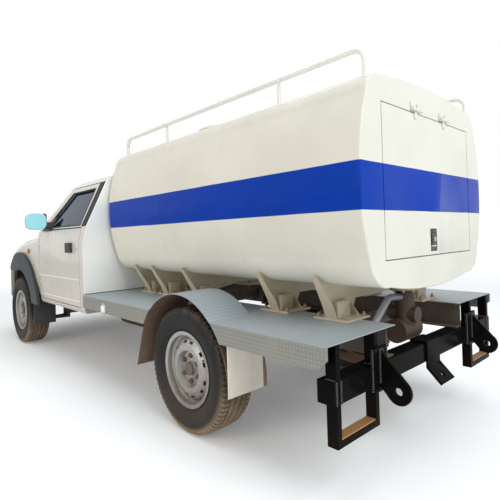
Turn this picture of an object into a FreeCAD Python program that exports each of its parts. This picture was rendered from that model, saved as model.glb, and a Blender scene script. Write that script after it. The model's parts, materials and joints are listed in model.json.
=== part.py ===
import FreeCAD, Part
import math
import os

# Fuel bowser: a single-cab light truck with a fixed fuel tank behind the cab, on a welded deck.
# X runs to the truck's left, Y to its rear and Z up, in millimetres. Stations along the truck are
# measured from the rear axle, and node() moves every piece so that the origin is on the ground,
# half-way between the front bumper and the tips of the tow lugs.

# Truck
WHEELBASE = 3050.0
FRONT_OVERHANG = 850.0
REAR_OVERHANG = 1145.0
TRUCK_HALF_W = 845.0
SEAT_GAP = 0.3
DOOR_GAP = 6.0

# Wheels
TYRE_R = 345.0
TYRE_W = 215.0
TYRE_BEAD_R = 191.3
RIM_R = 207.0
RIM_W = 184.0
RIM_T = 5.0
DISC_IN = 47.0
DRUM_R = 130.0
SPINDLE_R = 25.0
RUNNING_FIT = 0.08
REAR_TRACK_HALF = TRUCK_HALF_W - 135
FRONT_TRACK_HALF = TRUCK_HALF_W - 105
KINGPIN_X = FRONT_TRACK_HALF - 85
KINGPIN_R = 24.0
KINGPIN_HALF = 115.0
NUT_CIRCLE_R = 70.0
SLOT_CIRCLE_R = 148.0
SLOT_PAIRS = 6

# Chassis
RAIL_IN = 350.0
RAIL_W = 60.0
BEAM_TOP = 510.0
BEAM_H = 90.0
BEAM_D = 80.0
BEAM_HALF = TRUCK_HALF_W - 25
REAR_FACE = 1000.0
CAB_RAIL_TOP = 530.0
CAB_RAIL_H = 120.0
AXLE_R = 42.0
DIFF_R = 130.0
SPRING_X = 480.0
SPRING_W = 60.0
LEAF_T = 9.6
LEAF_PITCH = 9.0

# Deck
DECK_TOP = 651.0
DECK_T = 4.0
DECK_HALF = TRUCK_HALF_W + 8
DECK_IN = 355.0
DECK_FRONT = -1290.0
DECK_FLANGE = 97.0
FLANGE_CHAMFER = 45.0
HUMP_R = 420.0
HUMP_IN = REAR_TRACK_HALF - 125
FLAP_IN = HUMP_IN + 35
GUARD_T = 4.0

# Tank
TANK_FRONT = -1250.0
TANK_REAR = 1030.0
TANK_HALF = 645.0
TANK_TOP = 1767.0
TANK_BOTTOM = 787.0
HATCH_HALF = 464.0
HATCH_BOTTOM = 945.0
HATCH_TOP = 1620.0
HATCH_T = 20.0
HATCH_GAP = 5.0
CABINET_DEPTH = 420.0
CABINET_WALL = 45.0
MANHOLE_Y = -500.0
NECK_R = 235.0
NECK_T = 10.0
NECK_TOP = TANK_TOP + 78
LID_R = 250.0
LID_T = 12.0
RAIL_TUBE_R = 13.0
RAIL_TOP = TANK_TOP + 76
RAIL_X = TANK_HALF - 108
RAIL_ENDS = (TANK_FRONT + 140, TANK_REAR - 25)
RAIL_POSTS = (-540.0, 510.0)
SADDLE_Y = (-980.0, -740.0, -350.0, 360.0, 730.0)
SADDLE_T = 8.0

# Cab
CAB_REAR = -1290.0
ROOF_Z = 1612.0
BELT_Z = 1165.0
SILL_Z = 465.0
FLOOR_Z = 540.0
GUTTER_Z = ROOF_Z - 72
WALL_T = 50.0
ROOF_SPLIT = ROOF_Z - 50
SCREEN_BASE_Y = -2400.0
SCREEN_TOP_Y = -1930.0
DOOR_FRONT = SCREEN_BASE_Y + 55
DOOR_REAR = CAB_REAR - 85
DOOR_HINGE = (TRUCK_HALF_W - 2, DOOR_FRONT + 7)
DOOR_BOTTOM = FLOOR_Z + 5
DOOR_TOP = GUTTER_Z - 10
GLASS_T = 5.0
BONNET_FRONT = -3700.0
BONNET_GAP = 6.0
BONNET_HALF = TRUCK_HALF_W - 155
ARCH_R = 440.0
ARCH_BACK = 100.0
FLARE_R = 615.0
FLARE_W = 30.0

# How far the blocks that only trim other shapes reach
FAR = 5000.0

SHIFT_Y = (WHEELBASE + FRONT_OVERHANG - REAR_OVERHANG) / 2
FRONT_Y = -WHEELBASE - FRONT_OVERHANG
FRONT_AXLE = -WHEELBASE
AXLE_Z = TYRE_R


def vec(x, y, z):
    return FreeCAD.Vector(x, y, z)


def on_plane(axis, at, p):
    """The point p, given in the two other axes in order, on the plane axis = at."""
    if axis == "X":
        return vec(at, p[0], p[1])
    if axis == "Y":
        return vec(p[0], at, p[1])
    return vec(p[0], p[1], at)


def face(axis, at, steps):
    """A flat face. A step is the end of a line, or an arc as (middle, end)."""
    edges, here = [], steps[0]
    for step in steps[1:] + [steps[0]]:
        arc = isinstance(step[0], tuple)
        end = step[1] if arc else step
        if arc:
            points = [on_plane(axis, at, q) for q in (here, step[0], end)]
            edges.append(Part.Arc(*points).toShape())
        elif end != here:
            edges.append(Part.makeLine(on_plane(axis, at, here), on_plane(axis, at, end)))
        here = end
    return Part.Face(Part.Wire(edges))


def prism(axis, low, high, steps):
    run = on_plane(axis, high, (0, 0)) - on_plane(axis, low, (0, 0))
    return face(axis, low, steps).extrude(run)


def box(x0, x1, y0, y1, z0, z1):
    return Part.makeBox(x1 - x0, y1 - y0, z1 - z0, vec(x0, y0, z0))


def rod(axis, r, low, high, centre):
    run = on_plane(axis, high, centre) - on_plane(axis, low, centre)
    return Part.makeCylinder(r, run.Length, on_plane(axis, low, centre), run)


def link(r, a, b):
    """A round bar from point a to point b."""
    run = vec(*b) - vec(*a)
    return Part.makeCylinder(r, run.Length, vec(*a), run)


def turned(steps):
    """A solid of revolution about the X axis, from a profile of (x, radius) steps."""
    return face("Y", 0, steps).revolve(vec(0, 0, 0), vec(1, 0, 0), 360)


def pipe(points, r, bend):
    """A bent round bar: straight runs through the points, joined by arcs of radius bend."""
    corners = [vec(*p) for p in points]
    edges, here = [], corners[0]
    for before, corner, after in zip(corners, corners[1:], corners[2:]):
        inward = (before - corner).normalize()
        outward = (after - corner).normalize()
        half = inward.getAngle(outward) / 2
        back = bend / math.tan(half)
        middle = (inward + outward).normalize() * (bend / math.sin(half) - bend)
        start, end = corner + inward * back, corner + outward * back
        edges.append(Part.makeLine(here, start))
        edges.append(Part.Arc(start, corner + middle, end).toShape())
        here = end
    edges.append(Part.makeLine(here, corners[-1]))
    ring = Part.Wire([Part.makeCircle(r, corners[0], corners[1] - corners[0])])
    return Part.Wire(edges).makePipeShell([ring], True, False)


def fuse(*shapes):
    return shapes[0].fuse(list(shapes[1:])).removeSplitter()


def mirrored(shape):
    return shape.mirror(vec(0, 0, 0), vec(1, 0, 0))


def both(shape):
    """A piece and its mirror image on the truck's other side."""
    return Part.makeCompound([shape, mirrored(shape)])


def moved(shape, x, y, z):
    copy = shape.copy()
    copy.translate(vec(x, y, z))
    return copy


def node(name, shape):
    moved(shape, 0, SHIFT_Y, 0).exportStep("parts/" + name + ".step")


# Wheels, hubs and axles

def tyre():
    w, mid = TYRE_W / 2, (TYRE_R + RIM_R) / 2 - 12
    bead, tread = RIM_W / 2 - 8, w - 22
    profile = [(-bead, TYRE_BEAD_R), (bead, TYRE_BEAD_R), (bead, RIM_R + 2),
               ((w, mid), (w - 10, TYRE_R - 26)), ((w - 14, TYRE_R - 10), (tread, TYRE_R - 4)),
               ((0, TYRE_R), (-tread, TYRE_R - 4)), ((14 - w, TYRE_R - 10), (10 - w, TYRE_R - 26)),
               ((-w, mid), (-bead, RIM_R + 2))]
    return turned(profile)


def rim():
    """Steel rim with its disc, vent slots, hub cap and brake drum, with the outside towards +X."""
    w, t, seat = RIM_W / 2, RIM_T, TYRE_BEAD_R - SEAT_GAP
    well = seat - 16
    barrel = turned([(-w, RIM_R), (-w + 6, RIM_R), (-w + 8, seat), (-30, seat), (-12, well), (40, well),
                     (58, seat), (w - 8, seat), (w - 6, RIM_R), (w, RIM_R), (w, RIM_R - 5),
                     (w - 3, seat - t), (62, seat - t), (44, well - t), (-16, well - t), (-34, seat - t),
                     (-w + 3, seat - t), (-w, RIM_R - 5)])
    disc = turned([(40, well - t), (58, 158), (76, 128), (74, 100), (DISC_IN, 88), (DISC_IN, 0), (64, 0),
                   (64, 34), (58, 38), (DISC_IN + t, 40), (DISC_IN + t, 88), (79, 101), (81, 128),
                   (63, 160), (46, well - t)])
    slots = []
    for i in range(SLOT_PAIRS):
        for side in (-1, 1):
            slot = box(30, 90, -13, 13, SLOT_CIRCLE_R - 7, SLOT_CIRCLE_R + 7)
            slot.rotate(vec(0, 0, 0), vec(1, 0, 0), i * 360 / SLOT_PAIRS + side * 11)
            slots.append(slot)
    bore_r = SPINDLE_R + RUNNING_FIT
    drum = turned([(-40, bore_r), (-40, DRUM_R), (30, DRUM_R), (36, DRUM_R - 8), (DISC_IN, 80), (DISC_IN, 0),
                   (20, 0), (20, bore_r)])
    return fuse(barrel, disc.cut(Part.makeCompound(slots)), drum)


def road_wheels():
    places = (("rl", REAR_TRACK_HALF, 0, False), ("rr", REAR_TRACK_HALF, 0, True),
              ("fl", FRONT_TRACK_HALF, FRONT_AXLE, False), ("fr", FRONT_TRACK_HALF, FRONT_AXLE, True))
    for name, x, y, right in places:
        for kind, shape in (("tyre_", tyre()), ("rim_", rim())):
            placed = moved(shape, x, y, AXLE_Z)
            node(kind + name, mirrored(placed) if right else placed)


def knuckle():
    """The upright that carries a front wheel: kingpin, carrier, spindle and backing plate."""
    pin = rod("Z", KINGPIN_R, AXLE_Z - KINGPIN_HALF, AXLE_Z + KINGPIN_HALF, (KINGPIN_X, FRONT_AXLE))
    carrier = rod("X", 60, KINGPIN_X - 20, KINGPIN_X + 38, (FRONT_AXLE, AXLE_Z))
    spindle = rod("X", SPINDLE_R, KINGPIN_X, FRONT_TRACK_HALF + 15, (FRONT_AXLE, AXLE_Z))
    steering_arm = box(KINGPIN_X - 18, KINGPIN_X + 8, FRONT_AXLE + 15, FRONT_AXLE + 130, AXLE_Z - 50,
                       AXLE_Z - 30)
    return fuse(pin, carrier, spindle, steering_arm)


def rear_axle():
    end = REAR_TRACK_HALF - 43
    tube = rod("X", AXLE_R, -end, end, (0, AXLE_Z))
    spindles = rod("X", SPINDLE_R, -REAR_TRACK_HALF - 15, REAR_TRACK_HALF + 15, (0, AXLE_Z))
    half = [(-110, 0), (-110, 70), ((0, DIFF_R), (110, 70)), (110, 0)]
    diff = moved(turned(half), 0, 0, AXLE_Z)
    nose = Part.makeCone(85, 45, 90, vec(0, -100, AXLE_Z), vec(0, -1, 0))
    plates = [rod("X", DRUM_R - 4, s * (end - 6), s * end, (0, AXLE_Z)) for s in (-1, 1)]
    pads = [box(s * SPRING_X - 30, s * SPRING_X + 30, -70, 70, AXLE_Z, AXLE_Z + AXLE_R + 10) for s in (-1, 1)]
    return fuse(tube, spindles, diff, nose, *plates, *pads)


# Chassis

def rail_side(grow=0.0):
    """The side outline of a chassis rail: level under the tank, lower under the cab."""
    top, low = DECK_TOP - DECK_T - SEAT_GAP, CAB_RAIL_TOP
    bottom, cab_bottom = BEAM_TOP + SEAT_GAP, CAB_RAIL_TOP - CAB_RAIL_H
    return [(REAR_FACE - 15, bottom - grow), (REAR_FACE - 15, top + grow), (-900, top + grow),
            (-1330, low + grow), (-2650, low + grow), (-2900, low + 50 + grow), (FRONT_Y + 150,
                                                                                 low + 50 + grow),
            (FRONT_Y + 150, cab_bottom + 50 - grow), (-2900, cab_bottom + 50 - grow), (-2650,
                                                                                       cab_bottom - grow),
            (-1380, cab_bottom - grow), (-940, bottom - grow)]


def chassis_rails():
    rail = prism("X", RAIL_IN, RAIL_IN + RAIL_W, rail_side())
    channel = prism("X", RAIL_IN - 1, RAIL_IN + RAIL_W - 6, rail_side(-6))
    stations = [row[0] for row in CROSS_TUBES] + [FRONT_AXLE, GEARBOX_SUPPORT_Y]
    closed = [box(RAIL_IN, RAIL_IN + RAIL_W, y - 85, y + 85, 0, DECK_TOP) for y in stations]
    return both(rail.cut(channel.cut(Part.makeCompound(closed))))


# columns: station along the truck, height, tube radius
CROSS_TUBES = ((-3450.0, 520.0, 38.0), (-1600.0, 507.0, 20.0), (-640.0, 578.0, 38.0), (660.0, 578.0, 38.0))
GEARBOX_SUPPORT_Y = -2200.0


def crossmembers():
    inner = RAIL_IN - SEAT_GAP
    bars = []
    for y, z, r in CROSS_TUBES:
        bars.append(rod("X", r, -inner, inner, (y, z)))
    support_top = CAB_RAIL_TOP - CAB_RAIL_H - SEAT_GAP
    bars.append(box(-RAIL_IN - 50, RAIL_IN + 50, GEARBOX_SUPPORT_Y - 50, GEARBOX_SUPPORT_Y + 50,
                    support_top - 20, support_top))
    # the front axle beam hangs below the rails and carries the engine and the lower arms
    high, middle, low = CAB_RAIL_TOP - 10, CAB_RAIL_TOP - CAB_RAIL_H - 10, AXLE_Z - 95
    beam = prism("Y", FRONT_AXLE - 80, FRONT_AXLE + 80,
                 [(-inner, high), (-inner, low), (inner, low), (inner, high), (inner - 60, high),
                  (inner - 60, middle), (60 - inner, middle), (60 - inner, high)])
    bars.append(beam)
    return Part.makeCompound(bars)


def arm(z0, z1, inner_x, half):
    """One flat suspension arm, from its ball seat on the kingpin's axis to its pivot on the frame."""
    y = FRONT_AXLE
    plate = prism("Z", z0, z1, [(KINGPIN_X, y - 20), (KINGPIN_X, y + 20), (inner_x, y + half),
                                (inner_x, y - half)])
    seat = rod("Z", KINGPIN_R + 4, z0, z1, (KINGPIN_X, y))
    window = prism("Z", z0, z1, [(KINGPIN_X - 80, y - 12), (KINGPIN_X - 80, y + 12),
                                 (inner_x + 30, y + half - 45), (inner_x + 30, y - half + 45)])
    return fuse(plate, seat).cut(window)


def suspension_arms():
    low_top = AXLE_Z - KINGPIN_HALF - SEAT_GAP
    high_bottom = AXLE_Z + KINGPIN_HALF + SEAT_GAP
    lower = arm(low_top - 24, low_top, RAIL_IN, 79)
    lower = lower.fuse(box(RAIL_IN, RAIL_IN + 20, FRONT_AXLE - 79, FRONT_AXLE + 79, low_top - 24, 300))
    upper = arm(high_bottom, high_bottom + 18, RAIL_IN + RAIL_W + SEAT_GAP, 110)
    return both(Part.makeCompound([lower, upper]))


def leaf_springs():
    """Leaves of falling length under one main leaf, between a front hanger and a rear shackle."""
    seat = AXLE_Z + AXLE_R + 10 + SEAT_GAP
    x0, x1 = SPRING_X - SPRING_W / 2, SPRING_X + SPRING_W / 2
    pack = []
    for i, half_len in enumerate((240, 380, 520, 620)):
        z, rise = seat + i * LEAF_PITCH, half_len ** 2 * 1.35e-4
        pack.append(prism("X", x0, x1, [(-half_len, z + rise), ((0, z), (half_len, z + rise)),
                                        (half_len, z + rise + LEAF_T), ((0, z + LEAF_T),
                                                                        (-half_len, z + rise + LEAF_T))]))
    eye_z = seat + 3 * LEAF_PITCH + 52 + LEAF_T / 2
    for y in (-620, 620):
        pack.append(rod("X", 22, x0, x1, (y, eye_z)))
    for y in (-620, 620):
        rail_side_x = RAIL_IN + RAIL_W + SEAT_GAP
        pack.append(prism("X", rail_side_x, x1 + 8, [(y - 45, BEAM_TOP + 60), (y - 18, eye_z), (y + 18, eye_z),
                                                     (y + 45, BEAM_TOP + 60)]))
    return both(fuse(*pack))


def propshaft():
    start, end = (0, -2077.5, 462), (0, -192, AXLE_Z + 2)
    joints = [Part.makeSphere(44, vec(0, -2030, 459)), Part.makeSphere(44, vec(0, -240, AXLE_Z + 5))]
    return fuse(link(34, start, end), *joints)


def exhaust():
    z = 335
    route = [(215, -2739.7, 440), (215, -2600, 440), (215, -2400, z), (215, -560, z), (215, -230, 520),
             (215, 240, 520), (215, 560, 420), (215, 880, 400)]
    silencer = rod("Y", 68, -1850, -1250, (215, z))
    rear_hanger = box(205, 225, 648, 672, 420, 578)
    front_hanger = box(205, 225, -1612, -1588, z, 507)
    tubes = [rod("X", CROSS_TUBES[i][2] + SEAT_GAP, 0, 400, CROSS_TUBES[i][:2]) for i in (1, 3)]
    shape = fuse(pipe(route, 25, 90), silencer, rear_hanger, front_hanger)
    return shape.cut(Part.makeCompound(tubes))


def engine():
    """The engine, gearbox and their mounts as one plain block."""
    rear, low = FRONT_AXLE + 310, CAB_RAIL_TOP - CAB_RAIL_H
    block = box(-240, 240, FRONT_AXLE - 270, rear, low - 10 + SEAT_GAP, CAB_RAIL_TOP + 400)
    gearbox = box(-130, 130, rear, GEARBOX_SUPPORT_Y + 120, low, CAB_RAIL_TOP + 5)
    return fuse(block, gearbox)


# Cab

def body_section(inset):
    """The cab's cross-section from sill to roof, as a closed outline moved inwards by inset."""
    half = TRUCK_HALF_W
    right = [(half - 45, SILL_Z), (half - 10, SILL_Z + 60), (half, SILL_Z + 325), (half - 2, BELT_Z - 105),
             (half - 30, BELT_Z + 8), (half - 205, GUTTER_Z), (half - 285, ROOF_Z - 18), (0, ROOF_Z)]
    left = [(-x, z) for x, z in reversed(right[:-1])]
    wire = Part.makePolygon([on_plane("Y", 0, p) for p in right + left + [right[0]]])
    return wire.makeOffset2D(-inset, 2) if inset else wire


def body_band(outer, inner, y0, y1):
    """The skin between two insets of the cab's section, from y0 to y1."""
    shell = Part.Face(body_section(outer)).cut(Part.Face(body_section(inner)))
    return moved(shell.extrude(vec(0, y1 - y0, 0)), 0, y0, 0)


def door_line(grow=0.0):
    """The door's side outline, square at the rear, with its front edge along the screen pillar."""
    g, slope = grow, (SCREEN_TOP_Y - SCREEN_BASE_Y) / (ROOF_Z - BELT_Z)
    top_front = SCREEN_BASE_Y + 90 + slope * (DOOR_TOP - BELT_Z)
    return [(DOOR_FRONT - g, DOOR_BOTTOM - g), (DOOR_REAR + g, DOOR_BOTTOM - g), (DOOR_REAR + g, DOOR_TOP + g),
            (top_front - 0.5 * g, DOOR_TOP + g), (SCREEN_BASE_Y + 75 - 1.5 * g, BELT_Z - 20),
            (DOOR_FRONT - g, BELT_Z - 60)]


def door_swing(grow=0.0):
    """What lies within reach of the door's hinge axis: the door's rear edge follows its own swing."""
    return rod("Z", DOOR_REAR - DOOR_HINGE[1] + grow, 0, FAR, DOOR_HINGE)


def window_line(grow=0.0):
    g, slope = grow, (SCREEN_TOP_Y - SCREEN_BASE_Y) / (ROOF_Z - BELT_Z)
    low, high = BELT_Z + 22, DOOR_TOP - 42
    front = SCREEN_BASE_Y + 165
    return [(DOOR_REAR - 45 + g, low - g), (DOOR_REAR - 62 + g, high + g),
            (front + slope * (high - low) - g, high + g), (front - 2 * g, low - g)]


def cab_outline(axis_low, axis_high):
    """The cab's side silhouette as a block: raked screen, upright rear."""
    low, high = SILL_Z + 35, ROOF_Z + 88
    return prism("X", axis_low, axis_high,
                 [(CAB_REAR - 6 - SEAT_GAP, low), (CAB_REAR - 6 - SEAT_GAP, high), (SCREEN_TOP_Y + 92, high),
                  (SCREEN_TOP_Y, ROOF_Z), (SCREEN_BASE_Y, BELT_Z), (SCREEN_BASE_Y - 20, BELT_Z),
                  (SCREEN_BASE_Y - 20, low)])


FLOOR_HALF = TRUCK_HALF_W - 145
COWL_Z = BELT_Z - 77


def cab_tube(outer, inner):
    return body_band(outer, inner, SCREEN_BASE_Y - 30, CAB_REAR).common(cab_outline(-FAR, FAR))


DOOR_HINGE_Z = (700.0, 1000.0)
KNUCKLE_R = 5.5


def door_hinges():
    """The fixed ears and pins of one door's two hinges, reaching out from the front pillar."""
    x, y = DOOR_HINGE
    pieces = []
    for z in DOOR_HINGE_Z:
        for low in (z - 30, z + 16):
            pieces.append(rod("Z", KNUCKLE_R, low, low + 14, DOOR_HINGE))
            pieces.append(box(x - 4.5, x + 4.5, DOOR_FRONT - 20, y, low, low + 14))
            pieces.append(box(x - 47, x + 4.5, DOOR_FRONT - 20, DOOR_FRONT - 9, low, low + 14))
        pieces.append(rod("Z", HINGE_PIN_R, z - 25, z + 25, DOOR_HINGE))
    return pieces


def hinge_notch(y0, y1):
    """The pockets that the door's and the wing's edges have around the door's hinges."""
    x = DOOR_HINGE[0]
    return Part.makeCompound([box(x - 20, x + 20, y0, y1, z - 32, z + 32) for z in DOOR_HINGE_Z])


def cab_sides():
    tube = cab_tube(0, WALL_T)
    side = tube.common(box(0, FAR, -FAR, 0, 0, ROOF_SPLIT - SEAT_GAP))
    side = side.cut(box(-1, FLOOR_HALF + SEAT_GAP, -FAR, 0, 0, FLOOR_Z + 60))
    opening = prism("X", 300, FAR, door_line(DOOR_GAP)).common(door_swing(DOOR_GAP))
    # the hinge pillar stands inside the wing's skin
    hidden = body_band(-5, WING_T + 26, SCREEN_BASE_Y - 40, DOOR_FRONT - DOOR_GAP)
    hidden = fuse(hidden, box(TRUCK_HALF_W - 48, FAR, SCREEN_BASE_Y - 40, DOOR_FRONT - DOOR_GAP, COWL_Z - 88,
                              COWL_Z))
    side = side.cut(opening).cut(hidden.common(box(0, FAR, -FAR, 0, 0, COWL_Z)))
    return both(fuse(side, *door_hinges()))


def cab_roof():
    return cab_tube(0, WALL_T - 20).common(box(-FAR, FAR, -FAR, 0, ROOF_SPLIT, FAR))


SCUTTLE_Z = BELT_Z - 60
BONNET_HINGE = (SCREEN_BASE_Y - 46, SCUTTLE_Z + 9)
BONNET_HINGE_X = (38 - BONNET_HALF, BONNET_HALF - 38)
BONNET_HINGE_R = 7.0


def bonnet_hinges(fixed):
    """Two ears and a pin at each rear corner of the bonnet, and the bonnet's knuckle between them."""
    y, z = BONNET_HINGE
    pieces = []
    for x in BONNET_HINGE_X:
        if fixed:
            pieces += [box(low, low + 10, y - 7, y + 7, SCUTTLE_Z - 5, z + 7) for low in (x - 24, x + 14)]
            pieces.append(rod("X", HINGE_PIN_R, x - 20, x + 20, BONNET_HINGE))
        else:
            knuckle = fuse(rod("X", BONNET_HINGE_R, x - 12, x + 12, BONNET_HINGE),
                           box(x - 12, x + 12, y - 30, y, z - 7, z - 1))
            pieces.append(knuckle.cut(rod("X", HINGE_PIN_R + RUNNING_FIT, x - 30, x + 30, BONNET_HINGE)))
    return pieces


def cab_floor():
    """Floor with its tunnel, toe board and scuttle, in one pressing with its stiffeners."""
    x, y0, y1, z = FLOOR_HALF, SCREEN_BASE_Y - 20, CAB_REAR - 6 - SEAT_GAP, FLOOR_Z
    floor = box(-x, x, y0, y1, z, z + 30)
    tunnel = prism("Y", y0, y1, [(-190, z), (-150, z + 110), (150, z + 110), (190, z)])
    hollow = prism("Y", y0 - 1, y1 + 1, [(-165, z), (-132, z + 88), (132, z + 88), (165, z)])
    wall = box(-x + 20, x - 20, y0 - 30, y0, z, SCUTTLE_Z)
    top = BELT_Z - SEAT_GAP
    scuttle = prism("X", 20 - x, x - 20, [(y0 - 30, SCUTTLE_Z - 20), (y0 - 30, SCUTTLE_Z), (y0, SCUTTLE_Z + 5),
                                          (y0 + 20, top), (y0 + 38, top), (y0 + 22, SCUTTLE_Z - 20)])
    rail_x = RAIL_IN + RAIL_W / 2
    mounts = [box(s * rail_x - 30, s * rail_x + 30, y - 40, y + 40, CAB_RAIL_TOP + SEAT_GAP, z + 1)
              for s in (-1, 1) for y in (SCREEN_BASE_Y + 100, CAB_REAR - 210)]
    return fuse(floor, tunnel, wall, scuttle, *mounts, *bonnet_hinges(True)).cut(hollow)


def cab_back():
    """The plain rear wall: a skin over the whole section, and its inner frame inside the cab."""
    skin = moved(Part.Face(body_section(0)).extrude(vec(0, 6, 0)), 0, CAB_REAR - 6, 0)
    inner = moved(Part.Face(body_section(WALL_T + SEAT_GAP)).extrude(vec(0, 30, 0)), 0, CAB_REAR - 36, 0)
    above_deck = box(-FAR, FAR, -FAR, 0, DECK_TOP + 4, FAR)
    return fuse(skin.common(above_deck), inner.common(above_deck))


def windscreen():
    slope_y, slope_z = SCREEN_TOP_Y - SCREEN_BASE_Y, ROOF_Z - BELT_Z
    pane = prism("X", -FAR, FAR, [(SCREEN_BASE_Y + 12, BELT_Z), (SCREEN_BASE_Y + 18, BELT_Z),
                                  (SCREEN_BASE_Y + 18 + slope_y, BELT_Z + slope_z),
                                  (SCREEN_BASE_Y + 12 + slope_y, BELT_Z + slope_z)])
    inside = moved(Part.Face(body_section(WALL_T + SEAT_GAP)).extrude(vec(0, 700, 0)), 0, SCREEN_BASE_Y - 60,
                   0)
    return pane.common(inside)


def door():
    panel = body_band(0, WALL_T, DOOR_FRONT - 100, DOOR_REAR + 10).common(prism("X", 300, FAR, door_line()))
    panel = panel.common(door_swing()).cut(prism("X", 300, FAR, window_line()))
    x, y = DOOR_HINGE
    knuckles = [fuse(rod("Z", KNUCKLE_R, z - 14, z + 14, DOOR_HINGE),
                     box(x - 5, x + 1, y, y + 18, z - 14, z + 14))
                for z in DOOR_HINGE_Z]
    bore = rod("Z", HINGE_PIN_R + RUNNING_FIT, 0, FAR, DOOR_HINGE)
    bores = Part.makeCompound([bore.common(box(0, FAR, -FAR, 0, z - 15, z + 15)) for z in DOOR_HINGE_Z])
    return fuse(panel.cut(hinge_notch(DOOR_FRONT - 10, y + 12)), *knuckles).cut(bores)


def door_glass():
    pane = body_band(18, 18 + GLASS_T, DOOR_FRONT - 100, DOOR_REAR + 10)
    return pane.common(prism("X", 300, FAR, window_line(-SEAT_GAP)))


MIRROR_Y = -2110.0
MIRROR_ROOT_X = TRUCK_HALF_W - 45
MIRROR_Z = BELT_Z + 7


def door_keep_out():
    """The door's own space, with its skin's seat gap, which its fittings stay out of."""
    block = Part.Face(body_section(-SEAT_GAP)).extrude(vec(0, CAB_REAR - DOOR_FRONT, 0))
    return moved(block, 0, DOOR_FRONT - 100, 0)


def door_fittings():
    """The mirror on its arm and base, and the pull handle, all in black plastic."""
    skin = TRUCK_HALF_W
    handle = box(skin - 8, skin + 22, DOOR_REAR - 235, DOOR_REAR - 135, BELT_Z - 195,
                 BELT_Z - 115).cut(door_keep_out())
    y0, y1, x, z = MIRROR_Y - 35, MIRROR_Y + 25, TRUCK_HALF_W, MIRROR_Z
    head = prism("Y", y0, y1, [(x + 3, z + 23), ((x + 8, z + 11), (x + 23, z + 8)), (x + 155, z),
                               ((x + 175, z + 8), (x + 179, z + 28)), (x + 181, z + 118),
                               ((x + 175, z + 136), (x + 157, z + 142)), (x + 35, z + 146),
                               ((x + 11, z + 140), (x + 5, z + 120))])
    stem = prism("Z", z + 14, z + 68, [(MIRROR_ROOT_X, MIRROR_Y - 60), (x + 25, y0 + 4), (x + 25, y1 - 12),
                                       (MIRROR_ROOT_X, MIRROR_Y + 60)])
    plate = prism("X", 600, FAR, [(MIRROR_Y - 190, BELT_Z - 2), (MIRROR_Y + 70, BELT_Z - 2),
                                  (MIRROR_Y + 70, BELT_Z + 125)])
    plate = body_band(-14, -SEAT_GAP, MIRROR_Y - 200, MIRROR_Y + 80).common(plate)
    return handle, fuse(head, stem, plate).cut(door_keep_out())


WING_T = 14.0


# columns: station, top at the bonnet, shoulder's place, drop to the side, half width
WING_ROWS = ((DOOR_FRONT - DOOR_GAP - SEAT_GAP, BELT_Z - 37, TRUCK_HALF_W - 45, 60, TRUCK_HALF_W),
             (FRONT_AXLE + 80, BELT_Z - 90, TRUCK_HALF_W - 55, 70, TRUCK_HALF_W),
             (FRONT_AXLE - 310, BELT_Z - 155, TRUCK_HALF_W - 80, 90, TRUCK_HALF_W - 23),
             (BONNET_FRONT + 30, BELT_Z - 250, TRUCK_HALF_W - 120, 120, TRUCK_HALF_W - 88))


def wing_section(top, shoulder_x, drop, half):
    """Section of a wing's skin: flat by the bonnet, over the shoulder and down the side."""
    t, inner, waist, hem = WING_T, BONNET_HALF + 6, SILL_Z + 235, SILL_Z + 95
    return [(inner, top), (shoulder_x, top - 6), (half, top - drop), (half, waist), (half - 15, hem),
            (half - 15 - t, hem), (half - t, waist), (half - t, top - drop - 4), (shoulder_x - t, top - 6 - t),
            (inner, top - t)]


def front_wings():
    wires = []
    for y, top, shoulder_x, drop, half in WING_ROWS:
        points = [on_plane("Y", y, p) for p in wing_section(top, shoulder_x, drop, half)]
        wires.append(Part.makePolygon(points + [points[0]]))
    skin = Part.makeLoft(wires, True, True)
    arch = rod("X", ARCH_R + 50, 500, FAR, (FRONT_AXLE + ARCH_BACK, AXLE_Z))
    cowl = box(600, FAR, SCREEN_BASE_Y - 26, DOOR_FRONT, COWL_Z - SEAT_GAP, FAR)
    nose = box(600, FAR, FRONT_Y, FRONT_AXLE, 0, BUMPER_TOP + 8)
    return both(skin.cut(arch).cut(cowl).cut(nose).cut(hinge_notch(DOOR_FRONT - 22, DOOR_FRONT)))


def wing_strip(inner, outer):
    """The upright band that follows a wing's side, from inner to outer beyond it."""
    line = [(half, y) for y, _, _, _, half in WING_ROWS]
    line = [(line[0][0], line[0][1] + 300)] + line[1:]
    return prism("Z", 0, FAR, [(x + inner, y) for x, y in line] + [(x + outer, y) for x, y in reversed(line)])


def wheel_flares():
    """The wide plastic flare over each front wheel, with the flap behind the wheel."""
    centre = (FRONT_AXLE + ARCH_BACK, AXLE_Z)
    ring = rod("X", FLARE_R, 600, FAR, centre).common(wing_strip(SEAT_GAP, FLARE_W))
    lip = rod("X", ARCH_R + 45, 600, FAR, centre).common(wing_strip(-60, FLARE_W))
    hoop = fuse(ring, lip).cut(rod("X", ARCH_R, 500, FAR, centre))
    back = box(500, FAR, centre[0], centre[0] + 700, SILL_Z + 5, FAR)
    front = box(500, FAR, centre[0] - 700, centre[0], BUMPER_TOP + 8, FAR)
    flap = box(TRUCK_HALF_W - 205, TRUCK_HALF_W, centre[0] + ARCH_R - 50, centre[0] + ARCH_R - 42,
               SILL_Z - 215, SILL_Z + 135)
    return both(fuse(hoop.common(fuse(back, front)), flap))


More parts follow.
